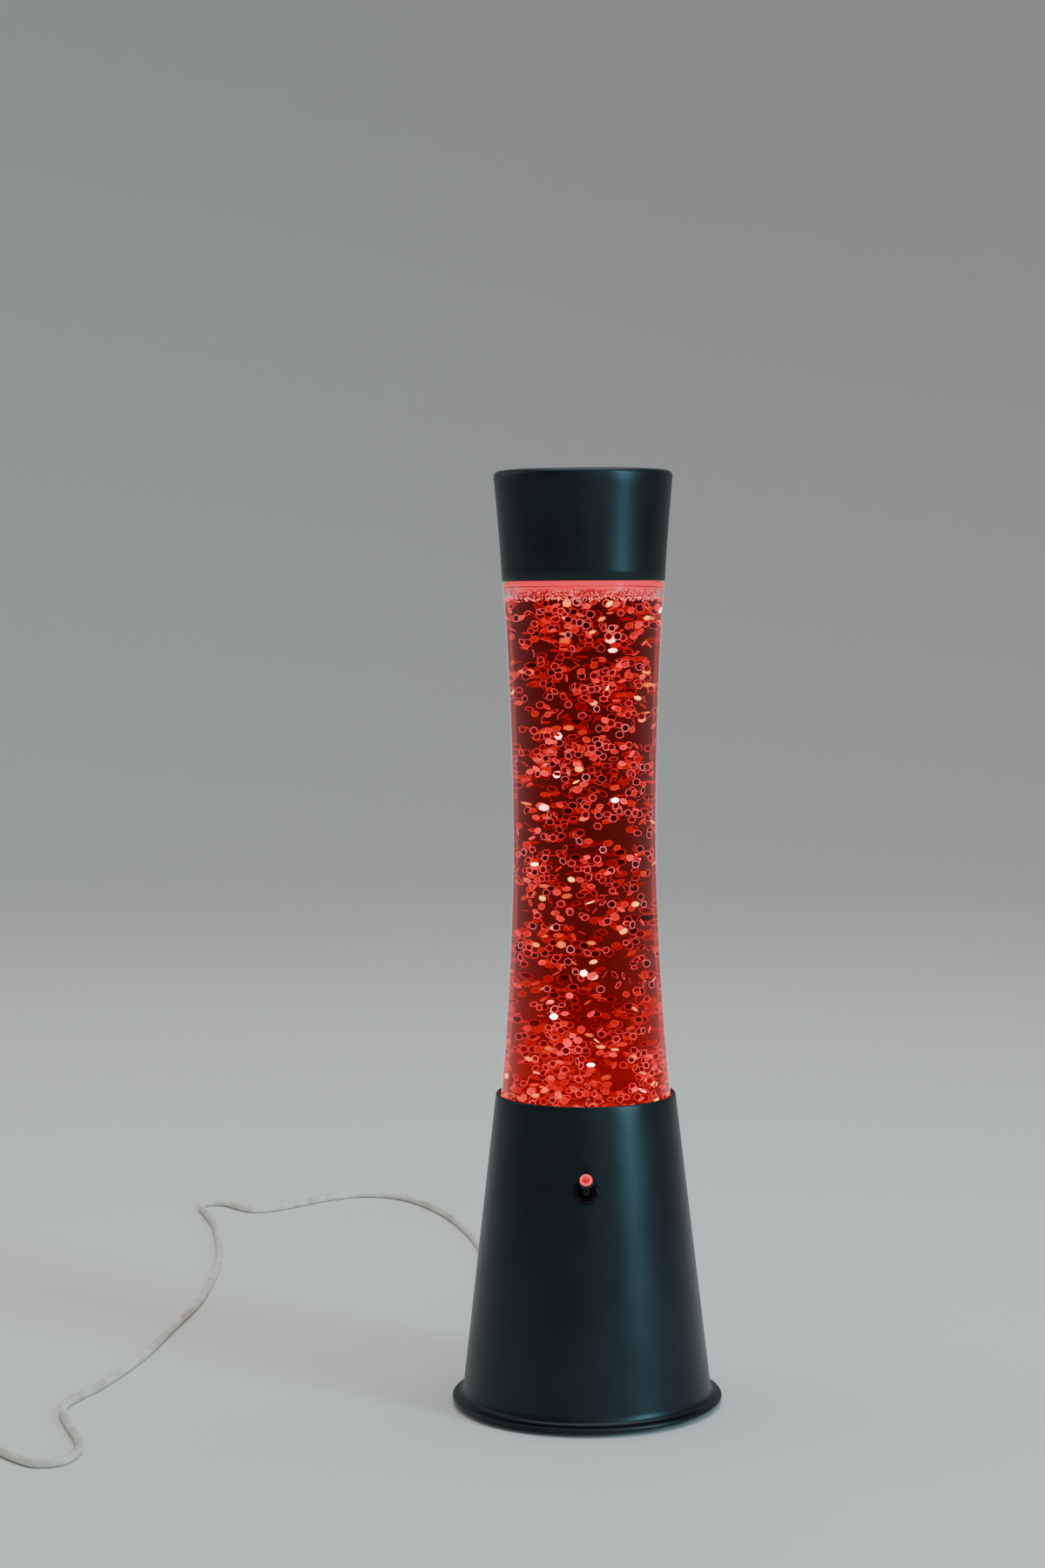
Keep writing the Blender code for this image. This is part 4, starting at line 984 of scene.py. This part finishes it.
def loft(loops):
    """Join loops of points, each the same length, into one closed ring-shaped solid."""
    bm = bmesh.new()
    rings = [[bm.verts.new(Vector(p) * MM) for p in loop] for loop in loops]
    for a, b in zip(rings, rings[1:] + rings[:1]):
        for k in range(len(a)):
            n = (k + 1) % len(a)
            bm.faces.new((a[k], a[n], b[n], b[k]))
    return bm


ROUND = 96
around = [2 * math.pi * k / ROUND for k in range(ROUND)]


def ring_of(radius_at, height_at):
    """One loop round the axis whose radius and height may change with the angle."""
    return [(radius_at(a) * math.cos(a), radius_at(a) * math.sin(a), height_at(a))
            for a in around]


def chamfer_top(angle):
    """Height of the nut's top edge, lower at the corners."""
    return NUT_HIGH - max(0.0, hexagon_r(angle) - NUT_FLATS / 2 + 0.1) * math.tan(math.pi / 6)


nut = loft([ring_of(hexagon_r, lambda a: NUT_LOW), ring_of(hexagon_r, chamfer_top),
            ring_of(lambda a: NUT_FLATS / 2 - 0.15, lambda a: NUT_HIGH),
            ring_of(lambda a: NUT_BORE_R + 0.35, lambda a: NUT_HIGH),
            ring_of(lambda a: NUT_BORE_R, lambda a: NUT_HIGH - 0.35),
            ring_of(lambda a: NUT_BORE_R, lambda a: NUT_LOW)])
piece("lock_nut", nut, black_plate, "base", ["switch_nut"], SWITCH_FRAME, 25)

# %% Washer and bushing
washer = [(3.4, 0.35), (5.3, 0.35), (5.4, 0.45), (5.4, 0.85), (5.25, 1.0), (3.4, 1.0)]
piece("lock_washer", spin(washer, 64), black_plate, "base",
      ["switch_washer"], SWITCH_FRAME)
BUSHING_R, BUSHING_BORE_R, BUSHING_LOW, THREAD_DEEP, THREAD_HALF = 3.1, 2.5, -1.4, 0.25, 0.36
thread = [(BUSHING_R - THREAD_DEEP * (k % 2), BUSHING_LOW + THREAD_HALF * k) for k in range(17)]
bushing = [(BUSHING_BORE_R, BUSHING_LOW)] + thread
bushing += [(BUSHING_R - 0.4, 4.7), (2.9, 4.8), (2.6, 4.8), (BUSHING_BORE_R, 4.65)]
piece("threaded_bushing", spin(bushing, 64), black_plate, "base",
      ["switch_bushing"], SWITCH_FRAME)

# %% [markdown]
# ## The lever
# The black lever is turned: a ball in the bushing, a slim stalk and a flared cup for the red
# cap. It leans down, and it turns about the switch's pivot, so its outline is spun upright and
# then placed in the lever's own leaning frame.

# %% Lever and lit tip
LEVER_TILT = math.radians(28)
LEVER_FRAME = SWITCH_FRAME @ Matrix.Translation((0, 0, 3.6 * MM)) @ Matrix.Rotation(
    -LEVER_TILT, 4, "X")
lever = [(0, -1.6)] + arc(0, 0, 1.7, -70, 35, 6)
lever += [(1.3, 1.5), (1.35, 4.0), (1.6, 6.4), (2.0, 8.6), (2.5, 9.5), (2.85, 10.0)]
lever += [(2.95, 10.3), (2.95, 12.6), (2.85, 12.75), (2.7, 12.75), (2.6, 12.6), (2.6, 11.9),
          (0, 11.9)]
piece("lever", spin(lever, 64), black_abs, "toggle", ["toggle_lever"],
      LEVER_FRAME)
outer_lens = [(1.75, 12.0), (2.55, 12.0), (2.55, 12.8), (2.4, 13.05), (2.1, 13.15),
              (1.85, 13.05), (1.75, 12.85)]
core_lens = [(0, 12.0), (1.68, 12.0), (1.68, 12.7), (1.5, 12.85), (0.9, 12.98), (0, 13.02)]
piece("tip_ring", spin(outer_lens, 64), tip_ring, "toggle", ["toggle_tip"],
      LEVER_FRAME)
piece("tip_core", spin(core_lens, 64), tip_core, "toggle", place=LEVER_FRAME)

# %% [markdown]
# ## The lead's facts
# A lead bends, so it has no joint.

# %% [markdown]
# ## Floor and light
# The floor is a wide round sheet of pale matt paper that curves up all round, far from the
# lamp, so no edge shows from any side. The light is soft: a tall soft box at the right, weaker
# ones in front, at the left and above. A sun or a bare lamp would put a hard line on the metal;
# tall boxes put tall, soft highlights on it. The right one has a fabric grid, which keeps its
# light off the paper behind the lamp.

# %% Paper floor
FLOOR_R, BEND_R, PAPER_TOP = 3600.0, 1500.0, 3400.0
paper = [(0, 0), (800, 0), (FLOOR_R - BEND_R, 0)]
paper += arc(FLOOR_R - BEND_R, BEND_R, BEND_R, -82, 0, 12) + [(FLOOR_R, PAPER_TOP)]
paper += [(FLOOR_R + 20, PAPER_TOP), (FLOOR_R + 20, -20), (0, -20)]
paper_mesh = bpy.data.meshes.new("paper_floor")
bm = spin(paper, 96)
bmesh.ops.recalc_face_normals(bm, faces=bm.faces)
bm.to_mesh(paper_mesh)
bm.free()
paper_mesh.shade_smooth()
paper_mesh.set_sharp_from_angle(angle=math.radians(40))
paper_floor = bpy.data.objects.new("paper_floor", paper_mesh)
bpy.context.collection.objects.link(paper_floor)
paper_mesh.materials.append(new_material("matt_studio_paper", "#DDDDDC", 0.9)[0])

# %% Light


def soft_box(name, place, target, size, power, colour="#FFFFFF", fan=180):
    """An area light; fan is how many degrees its light spreads, less behind a fabric grid."""
    data = bpy.data.lights.new(name, "AREA")
    data.spread = math.radians(fan)
    data.shape = "RECTANGLE"
    data.size, data.size_y = size
    data.energy = power
    data.color = linear(colour)[:3]
    lamp = bpy.data.objects.new(name, data)
    lamp.location = place
    lamp.rotation_euler = (Vector(target) - Vector(place)).to_track_quat("-Z", "Y").to_euler()
    bpy.context.collection.objects.link(lamp)
    print(f"{name} light: {power} W")


soft_box("key", (1.5, -1.09, 0.9), (0, 0, 0.3), (0.42, 1.6), 8, "#B8ECF8", 90)
soft_box("front", (0.45, -1.8, 0.9), (0, 0, 0.2), (0.3, 1.5), 2.2, "#ECFFEC")
soft_box("fill", (-1.7, 0.5, 1.1), (0, 0, 0.3), (1.4, 1.4), 4)
soft_box("top", (0.1, 0.2, 2.3), (0, 0, 0), (2.2, 2.2), 36)

# %% World
world = bpy.data.worlds.new("studio")
world.use_nodes = True
world.node_tree.nodes["Background"].inputs["Color"].default_value = linear("#DCDDDE")
world.node_tree.nodes["Background"].inputs["Strength"].default_value = 0.3
bpy.context.scene.world = world

# %% Finish
bpy.context.view_layer.update()
